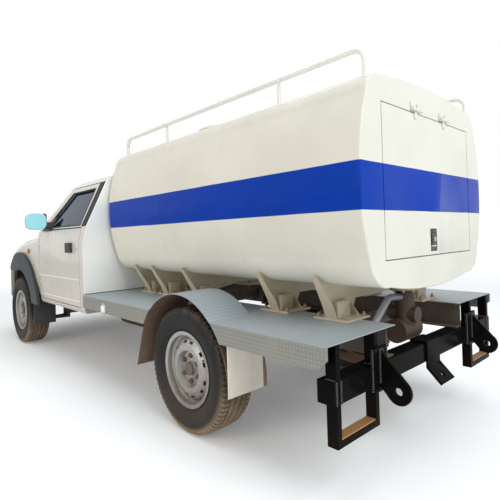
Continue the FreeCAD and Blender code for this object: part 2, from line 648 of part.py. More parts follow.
def bonnet():
    """The bonnet, crowned across and falling to the front, closed below by its inner frame."""
    rear = SCREEN_BASE_Y - 50 - BONNET_GAP
    rows = ((rear, BELT_Z - 15, BELT_Z - 60), (FRONT_AXLE + 80, BELT_Z - 47, BELT_Z - 105),
            (FRONT_AXLE - 310, BELT_Z - 115, BELT_Z - 170), (BONNET_FRONT, BELT_Z - 240, BELT_Z - 285))
    wires = []
    for y, crown, edge in rows:
        a, b, c = [on_plane("Y", y, p) for p in ((-BONNET_HALF, edge), (0, crown), (BONNET_HALF, edge))]
        d, e, f = [on_plane("Y", y, p) for p in ((BONNET_HALF, edge - 30), (0, crown - 30),
                                                 (-BONNET_HALF, edge - 30))]
        wires.append(Part.Wire([Part.Arc(a, b, c).toShape(), Part.makeLine(c, d), Part.Arc(d, e, f).toShape(),
                                Part.makeLine(f, a)]))
    return fuse(Part.makeLoft(wires, True, True), *bonnet_hinges(False))


BUMPER_TOP = 752.0
BUMPER_END = -3540.0


def front_end():
    """Grille panel, headlamps and bumper, made as such trucks have them."""
    y, low = BONNET_FRONT - 8, BUMPER_TOP - 20
    panel = box(-560, 560, y - 60, y, low, 872)
    slots = [box(-500, 500, y - 61, y - 30, z, z + 24) for z in (762, 798, 834)]
    carrier = box(-700, 700, y, y + 30, 600, 845)
    rail_top = CAB_RAIL_TOP + 50 + SEAT_GAP
    feet = [box(x, x + RAIL_W, y, y + 30, rail_top, 601) for x in (-RAIL_IN - RAIL_W, RAIL_IN)]
    lamp = prism("Z", low, 842, [(562, y - SEAT_GAP), (562, y - 60), (680, y - 46), (735, y), (748, y + 30),
                                 (702, y + 30), (702, y - SEAT_GAP)])
    outline = [(0, FRONT_Y), (560, FRONT_Y + 15), (690, FRONT_Y + 70), (760, FRONT_Y + 190),
               (806, BUMPER_END), (768, BUMPER_END), (722, FRONT_Y + 205), (660, FRONT_Y + 105),
               (550, FRONT_Y + 65), (0, FRONT_Y + 52)]
    bumper = prism("Z", 450, BUMPER_TOP, outline)
    hollow = box(-420, 420, FRONT_Y - 1, FRONT_Y + 26, BUMPER_TOP - 192, BUMPER_TOP - 132)
    bumper = fuse(bumper, mirrored(bumper)).cut(hollow)
    stays = [box(x, x + 45, FRONT_Y + 50, FRONT_Y + 150 - SEAT_GAP, 480, 560) for x in (-410, 365)]
    arch = rod("X", ARCH_R + 10, -FAR, FAR, (FRONT_AXLE + ARCH_BACK, AXLE_Z))
    bumper = fuse(bumper, *stays).cut(arch)
    lamps = lamp.cut(box(500, 1000, y - 100, y + 100, 0, BUMPER_TOP + SEAT_GAP))
    above_bumper = box(-600, 600, y - 100, y - 0.1, 0, BUMPER_TOP + SEAT_GAP)
    panel = fuse(panel.cut(Part.makeCompound(slots)), carrier, *feet).cut(above_bumper)
    return panel, both(lamps), bumper


def seats():
    """Bench seat: cushion, backrest and two head restraints."""
    half, y, z = FLOOR_HALF - 60, CAB_REAR, FLOOR_Z
    cushion = prism("X", -half, half, [(y - 670, z + 200), ((y - 655, z + 260), (y - 610, z + 265)),
                                       (y - 210, z + 230), (y - 210, z + 200)])
    back = prism("X", -half, half, [(y - 270, z + 235), ((y - 250, z + 225), (y - 160, z + 230)),
                                    (y - 55, z + 710), ((y - 75, z + 745), (y - 140, z + 730))])
    base = box(40 - half, half - 40, y - 610, y - 210, z + 110 + SEAT_GAP, z + 200)
    heads = [prism("X", x - 130, x + 130, [(y - 145, z + 750), (y - 70, z + 750), (y - 55, z + 900),
                                           (y - 110, z + 910)])
             for x in (-half / 2 - 30, half / 2 + 30)]
    stalks = [box(x - 8, x + 8, y - 115, y - 99, z + 700, z + 760)
              for s in (-1, 1) for x in (s * (half / 2 - 10), s * (half / 2 + 70))]
    return fuse(cushion, back, base, *heads, *stalks)


def dashboard():
    top, wall = SCUTTLE_Z - 20 - SEAT_GAP, SCREEN_BASE_Y - 20 + SEAT_GAP
    y, half, low = SCREEN_BASE_Y, FLOOR_HALF - 10, SCUTTLE_Z - 245
    dash = prism("X", -half, half, [(wall, low), (wall, top), (y + 220, top),
                                    ((y + 270, top - 30), (y + 280, top - 110)), (y + 180, low + 20), (y + 100,
                                                                                                       low)])
    centre = (-half / 2 - 5, y + 390, SCUTTLE_Z - 95)
    tilt = vec(0, 0.82, 0.57)
    ring = Part.makeTorus(185, 14, vec(*centre), tilt)
    hub = Part.makeCylinder(50, 40, vec(*centre) - tilt.normalize() * 20, tilt)
    column = link(22, (centre[0], y + 220, low + 32), centre)
    bar = Part.makeBox(350, 30, 14, vec(-175, -15, -7))
    bar.rotate(vec(0, 0, 0), vec(1, 0, 0), -math.degrees(math.atan2(0.82, 0.57)))
    return fuse(dash, column, ring, hub, moved(bar, *centre))


# Tank

def tank_line():
    """The tank's section: crowned top and bottom, bowed sides, round corners."""
    half, top, bottom = TANK_HALF, TANK_TOP, TANK_BOTTOM
    steps = [(-430, bottom + 37), ((0, bottom), (430, bottom + 37)), ((530, bottom + 63), (587, bottom + 158)),
             ((half, bottom + 513), (578, top - 117)), ((548, top - 55), (470, top - 29)),
             ((0, top), (-470, top - 29)), ((-548, top - 55), (-578, top - 117)),
             ((-half, bottom + 513), (-587, bottom + 158)), ((-530, bottom + 63), (-430, bottom + 37))]
    return face("Y", 0, steps)


def tank_body(grow=0.0, y0=TANK_FRONT, y1=TANK_REAR):
    section = tank_line()
    if grow:
        section = Part.Face(section.OuterWire.makeOffset2D(grow))
    return moved(section.extrude(vec(0, y1 - y0, 0)), 0, y0, 0)


def tank_shell():
    body = tank_body()
    neck = rod("Z", NECK_R, TANK_TOP - 60, NECK_TOP, (0, MANHOLE_Y))
    throat = rod("Z", NECK_R - NECK_T, TANK_TOP - 70, NECK_TOP + 1, (0, MANHOLE_Y))
    gap, wall = HATCH_GAP, CABINET_WALL
    rebate = box(-HATCH_HALF - gap, HATCH_HALF + gap, TANK_REAR - HATCH_T - 1, TANK_REAR + 1,
                 HATCH_BOTTOM - gap, HATCH_TOP + gap)
    cabinet = box(wall - HATCH_HALF, HATCH_HALF - wall, TANK_REAR - CABINET_DEPTH, TANK_REAR,
                  HATCH_BOTTOM + wall, HATCH_TOP - wall)
    return fuse(body, neck).cut(throat).cut(rebate).cut(cabinet)


HINGE_X = (-155.0, 155.0)
HINGE_R = 9.0
HINGE_PIN_R = 4.0
HINGE_LEN = 100.0


def hatch_hinges(fixed):
    """Barrel hinges above the hatch: the outer knuckles and pin are fixed, the middle one moves."""
    y, z = TANK_REAR + HINGE_R + 1.5, HATCH_TOP + HATCH_GAP + HINGE_R + 2
    pieces = []
    for x in HINGE_X:
        third = HINGE_LEN / 3
        if fixed:
            for s in (-1, 1):
                low = x + s * third - third / 2
                barrel = rod("X", HINGE_R, low, low + third, (y, z))
                leaf = box(low, low + third, TANK_REAR + SEAT_GAP, TANK_REAR + 5, z, z + 30)
                pieces.append(fuse(barrel, leaf))
            pin = rod("X", HINGE_PIN_R, x - third, x + third, (y, z))
            pieces[-2:] = [fuse(pieces[-2], pieces[-1], pin)]
        else:
            barrel = rod("X", HINGE_R, x - third / 2 + 1, x + third / 2 - 1, (y, z))
            a, b = x - third / 2 + 1, x + third / 2 - 1
            leaf = fuse(box(a, b, TANK_REAR + 1, TANK_REAR + 6, HATCH_TOP - 25, z),
                        box(a, b, TANK_REAR - 2, TANK_REAR + 6, HATCH_TOP - 25, HATCH_TOP))
            bore = rod("X", HINGE_PIN_R + RUNNING_FIT, x - third, x + third, (y, z))
            pieces.append(fuse(barrel, leaf).cut(bore))
    return pieces


def rear_hatch():
    y1 = TANK_REAR
    panel = box(-HATCH_HALF, HATCH_HALF, y1 - HATCH_T, y1, HATCH_BOTTOM, HATCH_TOP)
    latch = box(-50, 50, y1 - 8, y1 + 1, HATCH_BOTTOM + 2, HATCH_BOTTOM + 141)
    recess = box(-38, 38, y1 - 6, y1 + 2, HATCH_BOTTOM + 16, HATCH_BOTTOM + 128)
    handle = box(-24, 24, y1 - 7, y1 + 3, HATCH_BOTTOM + 40, HATCH_BOTTOM + 104)
    body = fuse(panel, latch).cut(recess)
    return fuse(body, handle, *hatch_hinges(False))


def manhole_lid():
    """The lid on its hinge at the front of the neck, with a clamp at the rear."""
    z0 = NECK_TOP + SEAT_GAP
    plate = rod("Z", LID_R, z0, z0 + LID_T, (0, MANHOLE_Y))
    dome = rod("Z", LID_R - 70, z0 + LID_T, z0 + LID_T + 12, (0, MANHOLE_Y))
    y = MANHOLE_Y - LID_R - LID_HINGE_OUT
    ear = box(-30, 30, y, MANHOLE_Y - LID_R + 30, z0, z0 + LID_T)
    barrel = rod("X", LID_T / 2 + 2, -30, 30, (y, z0 + LID_T / 2))
    bore = rod("X", HINGE_PIN_R + RUNNING_FIT, -60, 60, (y, z0 + LID_T / 2))
    grip = pipe([(-60, MANHOLE_Y + 120, z0 + LID_T), (-60, MANHOLE_Y + 120, z0 + LID_T + 38),
                 (60, MANHOLE_Y + 120, z0 + LID_T + 38), (60, MANHOLE_Y + 120, z0 + LID_T)], 7, 16)
    return fuse(plate, dome, ear, barrel, grip).cut(bore)


LID_HINGE_OUT = 22.0


def lid_hinge():
    """The ears and pin on the neck that carry the lid."""
    z = NECK_TOP + SEAT_GAP + LID_T / 2
    y = MANHOLE_Y - LID_R - LID_HINGE_OUT
    ears = [prism("X", x, x + 8, [(y - 12, z + 10), (y + 9, z + 10), (y + 12, NECK_TOP - 14),
                                  (MANHOLE_Y - NECK_R + 12, NECK_TOP - 24), (MANHOLE_Y - NECK_R + 12,
                                                                             NECK_TOP - 60),
                                  (y - 12, z - 14)]) for x in (-40, 32)]
    pin = rod("X", HINGE_PIN_R, -40, 40, (y, z))
    neck = rod("Z", NECK_R + SEAT_GAP, 0, FAR, (0, MANHOLE_Y))
    return fuse(*ears, pin).cut(neck)


def grab_rails():
    """A bent tube along each side of the tank's top, on two ends and two thin posts."""
    foot = TANK_TOP - 90
    y0, y1 = RAIL_ENDS
    bar = pipe([(RAIL_X, y0, foot), (RAIL_X, y0, RAIL_TOP), (RAIL_X, y1, RAIL_TOP), (RAIL_X, y1, foot)],
               RAIL_TUBE_R, 60)
    posts = [rod("Z", RAIL_TUBE_R - 4, foot, RAIL_TOP, (RAIL_X, y)) for y in RAIL_POSTS]
    return both(fuse(bar, *posts).cut(tank_body(SEAT_GAP)))


def saddles():
    """Welded cradles: a cross plate cut to the tank, leg flanges along its corners and foot plates."""
    base = DECK_TOP + SEAT_GAP
    pieces = []
    for y in SADDLE_Y:
        web = prism("Y", y - SADDLE_T / 2, y + SADDLE_T / 2,
                    [(-455, base), (-300, base), (-255, 735), (255, 735), (300, base), (455, base), (480, 720),
                     (620, 930), (-620, 930), (-480, 720)])
        strips = []
        for s in (-1, 1):
            strip = prism("Y", y - 32, y + 32, [(s * 449, base), (s * 457, base), (s * 486, 720),
                                                (s * 626, 930), (s * 616, 930), (s * 477, 722)])
            foot = box(min(s * 280, s * 470), max(s * 280, s * 470), y - 100, y + 100, base, base + 10)
            gusset = prism("X", min(s * 300, s * 308), max(s * 300, s * 308),
                           [(y - 60, base + 5), (y + 60, base + 5),
                                                                           (y, base + 75)])
            strips += [strip, foot, gusset]
        pieces.append(fuse(web, *strips).cut(tank_body(SEAT_GAP)))
    return Part.makeCompound(pieces)


def deck():
    """Tread-plate deck with its turned-down edge, and the hump over each rear wheel."""
    y0, y1, top, t = DECK_FRONT, REAR_FACE, DECK_TOP, DECK_T
    plate = box(DECK_IN, DECK_HALF, y0, y1, top - t, top)
    low = top - DECK_FLANGE
    edge = prism("X", DECK_HALF - t, DECK_HALF, [(y0, low), (y1 - FLANGE_CHAMFER, low),
                                                 (y1, low + FLANGE_CHAMFER), (y1, top), (y0, top)])
    front_edge = box(DECK_IN, DECK_HALF, y0, y0 + t, low, top)
    wheel = rod("X", HUMP_R - 1, HUMP_IN, DECK_HALF + 1, (0, AXLE_Z))
    hump = rod("X", HUMP_R, HUMP_IN, DECK_HALF, (0, AXLE_Z))
    hump = hump.cut(rod("X", HUMP_R - t, HUMP_IN + t, DECK_HALF + 1, (0, AXLE_Z)))
    hump = hump.common(box(0, FAR, -HUMP_R, HUMP_R, top - t, FAR))
    stub = rod("X", 32, DECK_HALF, DECK_HALF + 2, (-920, 585))
    return both(fuse(fuse(plate, edge, front_edge).cut(wheel), hump, stub))


def mudguards():
    """Curved guard inside each wheel hump, run down in front and behind, open at its edge."""
    r1 = HUMP_R - DECK_T - SEAT_GAP
    r0 = r1 - GUARD_T
    x0, x1 = HUMP_IN + DECK_T + SEAT_GAP, DECK_HALF - DECK_T - SEAT_GAP
    lean = math.radians(160)
    front = [(r * math.cos(lean), AXLE_Z + r * math.sin(lean)) for r in (r0, r1)]
    end = math.radians(-6)
    rear = [(r * math.cos(end), AXLE_Z + r * math.sin(end)) for r in (r0, r1)]
    top = [(0, AXLE_Z + r) for r in (r0, r1)]
    down = 210
    slope = (-down * math.sin(math.radians(20)), -down * math.cos(math.radians(20)))
    outline = [rear[0], (top[0], front[0]), (front[0][0] + slope[0], front[0][1] + slope[1]),
               (front[1][0] + slope[0], front[1][1] + slope[1]), front[1], (top[1], rear[1])]
    return both(prism("X", x0, x1, outline))


def mud_flaps():
    """White sheet flap hung behind each rear wheel."""
    y = HUMP_R - DECK_T + SEAT_GAP
    return both(box(FLAP_IN, DECK_HALF - DECK_T - SEAT_GAP, y, y + 4, AXLE_Z - 40,
                    DECK_TOP - DECK_T - SEAT_GAP))


def stirrup_legs(grow=0.0):
    g = grow
    return [(x - STIRRUP_T / 2 - g, x + STIRRUP_T / 2 + g) for x in (DECK_HALF - 333, DECK_HALF - 63)]


STIRRUP_BOTTOM = 255.0
STIRRUP_D = 50.0
STIRRUP_T = 28.0


def stirrups():
    """The hanging step frame at each rear corner, from the deck down past the beam."""
    x0, x1 = stirrup_legs()[0][0], stirrup_legs()[1][1]
    top = DECK_TOP - DECK_T - SEAT_GAP
    y0, y1 = REAR_FACE - STIRRUP_D, REAR_FACE
    frame = box(x0, x1, y0, y1, STIRRUP_BOTTOM, top)
    window = box(x0 + STIRRUP_T, x1 - STIRRUP_T, y0 - 1, y1 + 1, STIRRUP_BOTTOM + STIRRUP_T, top + 1)
    return both(frame.cut(window))


def rear_beam():
    y0, y1 = REAR_FACE - BEAM_D, REAR_FACE
    beam = box(-BEAM_HALF, BEAM_HALF, y0, y1, BEAM_TOP - BEAM_H, BEAM_TOP)
    legs = []
    for low, high in stirrup_legs(SEAT_GAP):
        for a, b in ((low, high), (-high, -low)):
            legs.append(box(a, b, REAR_FACE - STIRRUP_D - SEAT_GAP, y1 + 1, 0, 700))
    return beam.cut(Part.makeCompound(legs))


LUG_X = DECK_HALF - 348
LUG_T = 15.0
LUG_EYE = (REAR_FACE + 90, BEAM_TOP - 95)
LUG_R = 55.0
LUG_HOLE_R = 17.0


def tow_lugs():
    """A plate lug with an eye on each backing strip, and the bracket over the beam's middle."""
    y0 = REAR_FACE + SEAT_GAP
    strip = box(LUG_X - 50, LUG_X + 50, y0, y0 + 12, 400, 585)
    ey, ez = LUG_EYE
    x0, x1 = LUG_X - LUG_T / 2, LUG_X + LUG_T / 2
    eye = rod("X", LUG_R, x0, x1, LUG_EYE)
    a, b = math.radians(33), math.radians(215)
    web = prism("X", x0, x1, [(y0 + 2, 585), (ey + LUG_R * math.cos(a), ez + LUG_R * math.sin(a)), (ey, ez),
                              (ey + LUG_R * math.cos(b), ez + LUG_R * math.sin(b)), (y0 + 2, 430)])
    hole = rod("X", LUG_HOLE_R, x0 - 1, x1 + 1, LUG_EYE)
    return both(fuse(strip, eye, web).cut(hole))


def tow_bracket():
    """The folded plate over the middle of the beam, with its tongue below."""
    z, t, y1 = BEAM_TOP + SEAT_GAP, 10, REAR_FACE + SEAT_GAP
    y0 = REAR_FACE - BEAM_D
    out = 70
    wrap = prism("X", -70, 70, [(y0, z), (y0, z + t), (y1 + t, z + t), (y1 + t, 400),
                                (y1 + t + out, 400 - out), (y1 + t + out - 10, 390 - out), (y1, 390), (y1, z)])
    middle = vec(0, y1 + t + 42, 400 - 42)
    hole = Part.makeCylinder(14, 60, middle - vec(0, 21, 21), vec(0, 1, 1))
    return wrap.cut(hole)


def outlet():
    """The tank's outlet: flange, valve body and the bent pipe to the side."""
    flange = rod("Z", 75, TANK_BOTTOM - 22, TANK_BOTTOM - SEAT_GAP, (30, 880))
    body = rod("Z", 48, 560, TANK_BOTTOM - 20, (30, 880))
    cross = rod("Y", 40, 800, 950, (30, 640))
    pump = rod("X", 60, -60, 120, (870, 560))
    hose = pipe([(60, 880, 730), (190, 880, 740), (345, 880, 620)], 14, 60)
    return fuse(flange, body, cross, pump, hose).cut(tank_body(SEAT_GAP))


def cabinet_fittings():
    """The hose reel on its stand and the flow meter, inside the rear cabinet."""
    y0 = TANK_REAR - CABINET_DEPTH
    floor = HATCH_BOTTOM + CABINET_WALL + SEAT_GAP
    z = floor + 230
    drum = fuse(rod("X", 90, -340, -60, (y0 + 210, z)), rod("X", 190, -352, -340, (y0 + 210, z)),
                rod("X", 190, -60, -48, (y0 + 210, z)))
    feet = [box(x, x + 12, y0 + 110, y0 + 310, floor, z) for x in (-372, -40)]
    axle = rod("X", 16, -372, -28, (y0 + 210, z))
    reel = fuse(drum, axle, *feet)
    meter = fuse(box(120, 330, y0 + 60, y0 + 240, floor, floor + 190),
                 box(150, 300, y0 + 80, y0 + 270, floor + 190, floor + 400), rod("Y", 60, y0 + 265, y0 + 290,
                                                                                 (225, floor + 300)))
    return reel, meter


def build():
    os.makedirs("parts", exist_ok=True)
    road_wheels()
    for name, right in (("left", False), ("right", True)):
        side = mirrored if right else (lambda shape: shape)
        handle, mirror = door_fittings()
        node("knuckle_" + name, side(knuckle()))
        node("door_" + name, side(door()))
        node("door_glass_" + name, side(door_glass()))
        node("door_fittings_" + name, side(Part.makeCompound([handle, mirror])))
    node("rear_axle", rear_axle())
    node("chassis_rails", chassis_rails())
    node("crossmembers", crossmembers())
    node("suspension_arms", suspension_arms())
    node("leaf_springs", leaf_springs())
    node("propshaft", propshaft())
    node("exhaust", exhaust())
    node("engine_block", engine())
    node("cab_sides", cab_sides())
    node("cab_roof", cab_roof())
    node("cab_floor", cab_floor())
    node("cab_back", cab_back())
    node("windscreen", windscreen())
    node("front_wings", front_wings())
    node("wheel_flares", wheel_flares())
    node("bonnet", bonnet())
    grille, lamps, bumper = front_end()
    node("grille_panel", grille)
    node("headlamps", lamps)
    node("front_bumper", bumper)
    node("seats", seats())
    node("dashboard", dashboard())
    node("tank_shell", tank_shell())
    node("rear_hatch", rear_hatch())
    node("manhole_lid", manhole_lid())
    node("fixed_hinges", Part.makeCompound(hatch_hinges(True) + [lid_hinge()]))
    node("grab_rails", grab_rails())
    node("tank_saddles", saddles())
    node("deck_panels", deck())
    node("mudguards", mudguards())
    node("mud_flaps", mud_flaps())
    node("stirrup_frames", stirrups())
    node("rear_beam", rear_beam())
    node("tow_fittings", Part.makeCompound([tow_lugs(), tow_bracket()]))
    node("outlet_pipework", outlet())
    reel, meter = cabinet_fittings()
    node("hose_reel", reel)
    node("flow_meter", meter)


build()
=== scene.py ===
"""The look of the fuel bowser: paint, rubber, glass, steelwork and the view the photograph has."""
import json
import math

import bmesh
import bpy
import numpy as np
from mathutils import Matrix, Vector


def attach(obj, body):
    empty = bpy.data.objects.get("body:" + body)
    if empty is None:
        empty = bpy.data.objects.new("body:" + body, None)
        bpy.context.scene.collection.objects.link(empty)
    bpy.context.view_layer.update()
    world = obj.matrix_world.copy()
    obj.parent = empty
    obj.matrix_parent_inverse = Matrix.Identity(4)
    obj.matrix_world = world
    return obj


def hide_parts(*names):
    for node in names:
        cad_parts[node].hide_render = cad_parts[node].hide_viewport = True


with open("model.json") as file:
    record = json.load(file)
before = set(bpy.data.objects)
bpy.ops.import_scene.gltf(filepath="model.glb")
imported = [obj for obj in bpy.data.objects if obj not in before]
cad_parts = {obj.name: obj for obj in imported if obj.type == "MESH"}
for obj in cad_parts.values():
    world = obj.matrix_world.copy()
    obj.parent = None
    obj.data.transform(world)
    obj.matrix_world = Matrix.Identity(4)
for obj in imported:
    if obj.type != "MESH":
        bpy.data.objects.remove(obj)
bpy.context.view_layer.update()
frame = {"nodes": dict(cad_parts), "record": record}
nodes = frame["nodes"]
REAR_AXLE = 1.3775


# Paint and dirt. Every finish on the truck is a body colour under dust, so one shader group lays the
# dust: thick near the ground, thin in clouds and runs higher up, with a fine grain under all of it.
def socket_group(name, inputs, outputs):
    """A shader group with the named inputs (name, kind, value) and outputs (name, kind)."""
    group = bpy.data.node_groups.new(name, "ShaderNodeTree")
    for label, kind, value in inputs:
        group.interface.new_socket(name=label, in_out="INPUT", socket_type=kind).default_value = value
    for label, kind in outputs:
        group.interface.new_socket(name=label, in_out="OUTPUT", socket_type=kind)
    return group, group.nodes.new("NodeGroupInput"), group.nodes.new("NodeGroupOutput")


def math_node(tree, operation, a, b=None, clamp=False):
    """One Math node; a and b are sockets or numbers."""
    node = tree.nodes.new("ShaderNodeMath")
    node.operation, node.use_clamp = operation, clamp
    for i, value in enumerate((a, b)):
        if isinstance(value, (int, float)):
            node.inputs[i].default_value = value
        elif value is not None:
            tree.links.new(value, node.inputs[i])
    return node.outputs[0]


def ramp(tree, value, low, high, to_low=0.0, to_high=1.0):
    """A smooth rise from to_low to to_high as value goes from low to high."""
    node = tree.nodes.new("ShaderNodeMapRange")
    node.interpolation_type = "SMOOTHSTEP"
    for key, number in (("From Min", low), ("From Max", high), ("To Min", to_low), ("To Max", to_high)):
        if isinstance(number, (int, float)):
            node.inputs[key].default_value = number
        else:
            tree.links.new(number, node.inputs[key])
    tree.links.new(value, node.inputs["Value"])
    return node.outputs["Result"]


def place(tree, scale=(1.0, 1.0, 1.0)):
    """Object coordinates, stretched by scale."""
    where = tree.nodes.new("ShaderNodeTexCoord")
    node = tree.nodes.new("ShaderNodeMapping")
    node.inputs["Scale"].default_value = scale
    tree.links.new(where.outputs["Object"], node.inputs["Vector"])
    return node.outputs[0]


def noise(tree, vector, scale, detail=4.0, rough=0.55):
    node = tree.nodes.new("ShaderNodeTexNoise")
    node.inputs["Detail"].default_value, node.inputs["Roughness"].default_value = detail, rough
    if isinstance(scale, (int, float)):
        node.inputs["Scale"].default_value = scale
    else:
        tree.links.new(scale, node.inputs["Scale"])
    tree.links.new(vector, node.inputs["Vector"])
    return node.outputs["Fac"]


def mix(tree, factor, a, b, mode="MIX"):
    """Two colours mixed; a and b are sockets or colours."""
    node = tree.nodes.new("ShaderNodeMix")
    node.data_type, node.blend_type = "RGBA", mode
    for socket, value in ((node.inputs[0], factor), (node.inputs[6], a), (node.inputs[7], b)):
        if isinstance(value, (int, float)):
            socket.default_value = value
        elif isinstance(value, tuple):
            socket.default_value = (*value, 1.0)
        else:
            tree.links.new(value, socket)
    return node.outputs[2]


def bump(tree, height, strength, distance, normal=None):
    node = tree.nodes.new("ShaderNodeBump")
    node.inputs["Strength"].default_value, node.inputs["Distance"].default_value = strength, distance
    tree.links.new(height, node.inputs["Height"])
    if normal is not None:
        tree.links.new(normal, node.inputs["Normal"])
    return node.outputs[0]


weather, w_in, w_out = socket_group(
    "weather",
    (("Paint", "NodeSocketColor", (0.8, 0.8, 0.8, 1)), ("Dirt", "NodeSocketColor", (0.35, 0.28, 0.2, 1)),
     ("Amount", "NodeSocketFloat", 0.3), ("Low", "NodeSocketFloat", 0.3), ("High", "NodeSocketFloat", 1.0),
     ("Roughness", "NodeSocketFloat", 0.3), ("Grain", "NodeSocketFloat", 60.0),
     ("Depth", "NodeSocketFloat", 0.1)),
    (("Color", "NodeSocketColor"), ("Roughness", "NodeSocketFloat"), ("Normal", "NodeSocketVector"),
     ("Mask", "NodeSocketFloat")))
cloud = noise(weather, place(weather), 2.3, 6.0, 0.6)
runs = noise(weather, place(weather, (9.0, 9.0, 0.9)), 3.0, 5.0, 0.6)
grain = noise(weather, place(weather), w_in.outputs["Grain"], 5.0, 0.65)
height = weather.nodes.new("ShaderNodeSeparateXYZ")
weather.links.new(place(weather), height.inputs[0])
low_dust = math_node(weather, "SUBTRACT", 1.0,
                     ramp(weather, height.outputs["Z"], w_in.outputs["Low"], w_in.outputs["High"]))
patch = math_node(weather, "MULTIPLY", ramp(weather, cloud, 0.38, 0.68), ramp(weather, runs, 0.35, 0.7))
patch = math_node(weather, "ADD", math_node(weather, "MULTIPLY", patch, 0.55),
                  math_node(weather, "MULTIPLY", low_dust, ramp(weather, cloud, 0.2, 0.6, 0.45, 1.0)))
patch = math_node(weather, "MULTIPLY", patch, w_in.outputs["Amount"], True)
speck = math_node(weather, "MULTIPLY", ramp(weather, grain, 0.52, 0.72), math_node(
    weather, "MULTIPLY", w_in.outputs["Amount"], 0.35))
mask = math_node(weather, "MAXIMUM", patch, speck)
tone = mix(weather, math_node(weather, "MULTIPLY", ramp(weather, cloud, 0.3, 0.7), 0.07),
           w_in.outputs["Paint"], (0.0, 0.0, 0.0))
weather.links.new(mix(weather, mask, tone, w_in.outputs["Dirt"]), w_out.inputs["Color"])
rough = math_node(weather, "ADD", w_in.outputs["Roughness"], math_node(weather, "MULTIPLY", mask, 0.5), True)
weather.links.new(rough, w_out.inputs["Roughness"])
relief = weather.nodes.new("ShaderNodeBump")
relief.inputs["Distance"].default_value = 0.0012
weather.links.new(w_in.outputs["Depth"], relief.inputs["Strength"])
weather.links.new(grain, relief.inputs["Height"])
weather.links.new(relief.outputs[0], w_out.inputs["Normal"])
weather.links.new(mask, w_out.inputs["Mask"])


def finish(name, paint, rough=0.35, dirt=(0.36, 0.29, 0.21), amount=0.25, low=0.2, high=0.9, grain=60.0,
           depth=0.1, metallic=0.0, coat=0.0, specular=0.5):
    """A material with the weather group between its paint and its shader."""
    material = bpy.data.materials.new(name)
    material.use_nodes = True
    tree = material.node_tree
    shader = tree.nodes["Principled BSDF"]
    group = tree.nodes.new("ShaderNodeGroup")
    group.node_tree, group.name = weather, "weather"
    for key, value in (("Amount", amount), ("Low", low), ("High", high), ("Roughness", rough),
                       ("Grain", grain), ("Depth", depth)):
        group.inputs[key].default_value = value
    group.inputs["Paint"].default_value = (*paint, 1.0)
    group.inputs["Dirt"].default_value = (*dirt, 1.0)
    tree.links.new(group.outputs["Color"], shader.inputs["Base Color"])
    tree.links.new(group.outputs["Roughness"], shader.inputs["Roughness"])
    tree.links.new(group.outputs["Normal"], shader.inputs["Normal"])
    shader.inputs["Metallic"].default_value = metallic
    shader.inputs["Coat Weight"].default_value = coat
    shader.inputs["Coat Roughness"].default_value = 0.08
    shader.inputs["Specular IOR Level"].default_value = specular
    return material


def surface(name, patches, material, body, swaps=(), angle=38, merge=2e-5, closed=True):
    """One piece from grids of points. A patch is (points[u, v, 3], wraps in u, wraps in v).

    Neighbouring points in u and v make a quad; edges sharper than angle degrees stay sharp."""
    verts, faces, base = [], [], 0
    for points, wrap_u, wrap_v in patches:
        nu, nv = points.shape[:2]
        index = np.arange(nu * nv).reshape(nu, nv)
        if wrap_u:
            index = np.vstack([index, index[:1]])
        if wrap_v:
            index = np.hstack([index, index[:, :1]])
        quads = np.stack([index[:-1, :-1], index[1:, :-1], index[1:, 1:], index[:-1, 1:]], -1).reshape(-1, 4)
        verts.append(points.reshape(-1, 3))
        faces.append(quads + base)
        base += nu * nv
    mesh = bpy.data.meshes.new(name)
    mesh.from_pydata(np.vstack(verts), [], np.vstack(faces))
    return piece(name, mesh, material, body, swaps, angle, merge, closed)


def piece(name, mesh, material, body, swaps=(), angle=38, merge=2e-5, closed=True):
    """Merges a mesh's doubles, turns its faces outwards and puts it on its body."""
    work = bmesh.new()
    work.from_mesh(mesh)
    if merge:
        bmesh.ops.remove_doubles(work, verts=work.verts, dist=merge)
        bmesh.ops.dissolve_degenerate(work, edges=work.edges, dist=1e-6)
    if closed:
        bmesh.ops.recalc_face_normals(work, faces=work.faces)
    work.to_mesh(mesh)
    work.free()
    mesh.shade_smooth()
    mesh.set_sharp_from_angle(angle=math.radians(angle))
    mesh.materials.clear()
    mesh.materials.append(material)
    thing = bpy.data.objects.new(name, mesh)
    bpy.context.collection.objects.link(thing)
    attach(thing, body)
    if swaps:
        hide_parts(*swaps)
    return thing


BODY_OF = {node: body for body, members in frame["record"]["behaviour"]["bodies"].items() for node in members}


def dressed(node, material, edge=0.0015, angle=30):
    """A CAD node's own shape, merged, with its edges rounded by edge metres, in its place."""
    work = bmesh.new()
    work.from_mesh(nodes[node].data)
    bmesh.ops.remove_doubles(work, verts=work.verts, dist=1e-5)
    bmesh.ops.dissolve_limit(work, angle_limit=math.radians(1.0), verts=work.verts, edges=work.edges)
    mesh = bpy.data.meshes.new(node + "_dressed")
    work.to_mesh(mesh)
    work.free()
    thing = piece(node + "_dressed", mesh, material, BODY_OF[node], (node,), angle, 0, False)
    if edge:
        rounding = thing.modifiers.new("rounding", "BEVEL")
        rounding.width, rounding.segments, rounding.limit_method = edge, 2, "ANGLE"
        rounding.angle_limit, rounding.harden_normals = math.radians(angle), True
        rounding.use_clamp_overlap = True
    return thing


def plain(node, material):
    """A CAD node kept as it is, with its finish."""
    for slot in nodes[node].material_slots:
        slot.material = material


# Tank. A welded sheet tank, nearly oval with flat crowned sides, sprayed white with one blue band that
# runs down both sides and over the rear. The rear end is a flat plate with a square hatch let into it.
TANK_HALF, TANK_TOP, TANK_BOTTOM = 0.645, 1.767, 0.787
TANK_Y = (0.1275, 2.4075)
HATCH = (0.469, 0.3425, 1.2825)
BAND = (1.157, 1.357)
tank_white = (0.735, 0.705, 0.615)
band_blue = (0.001, 0.040, 0.36)


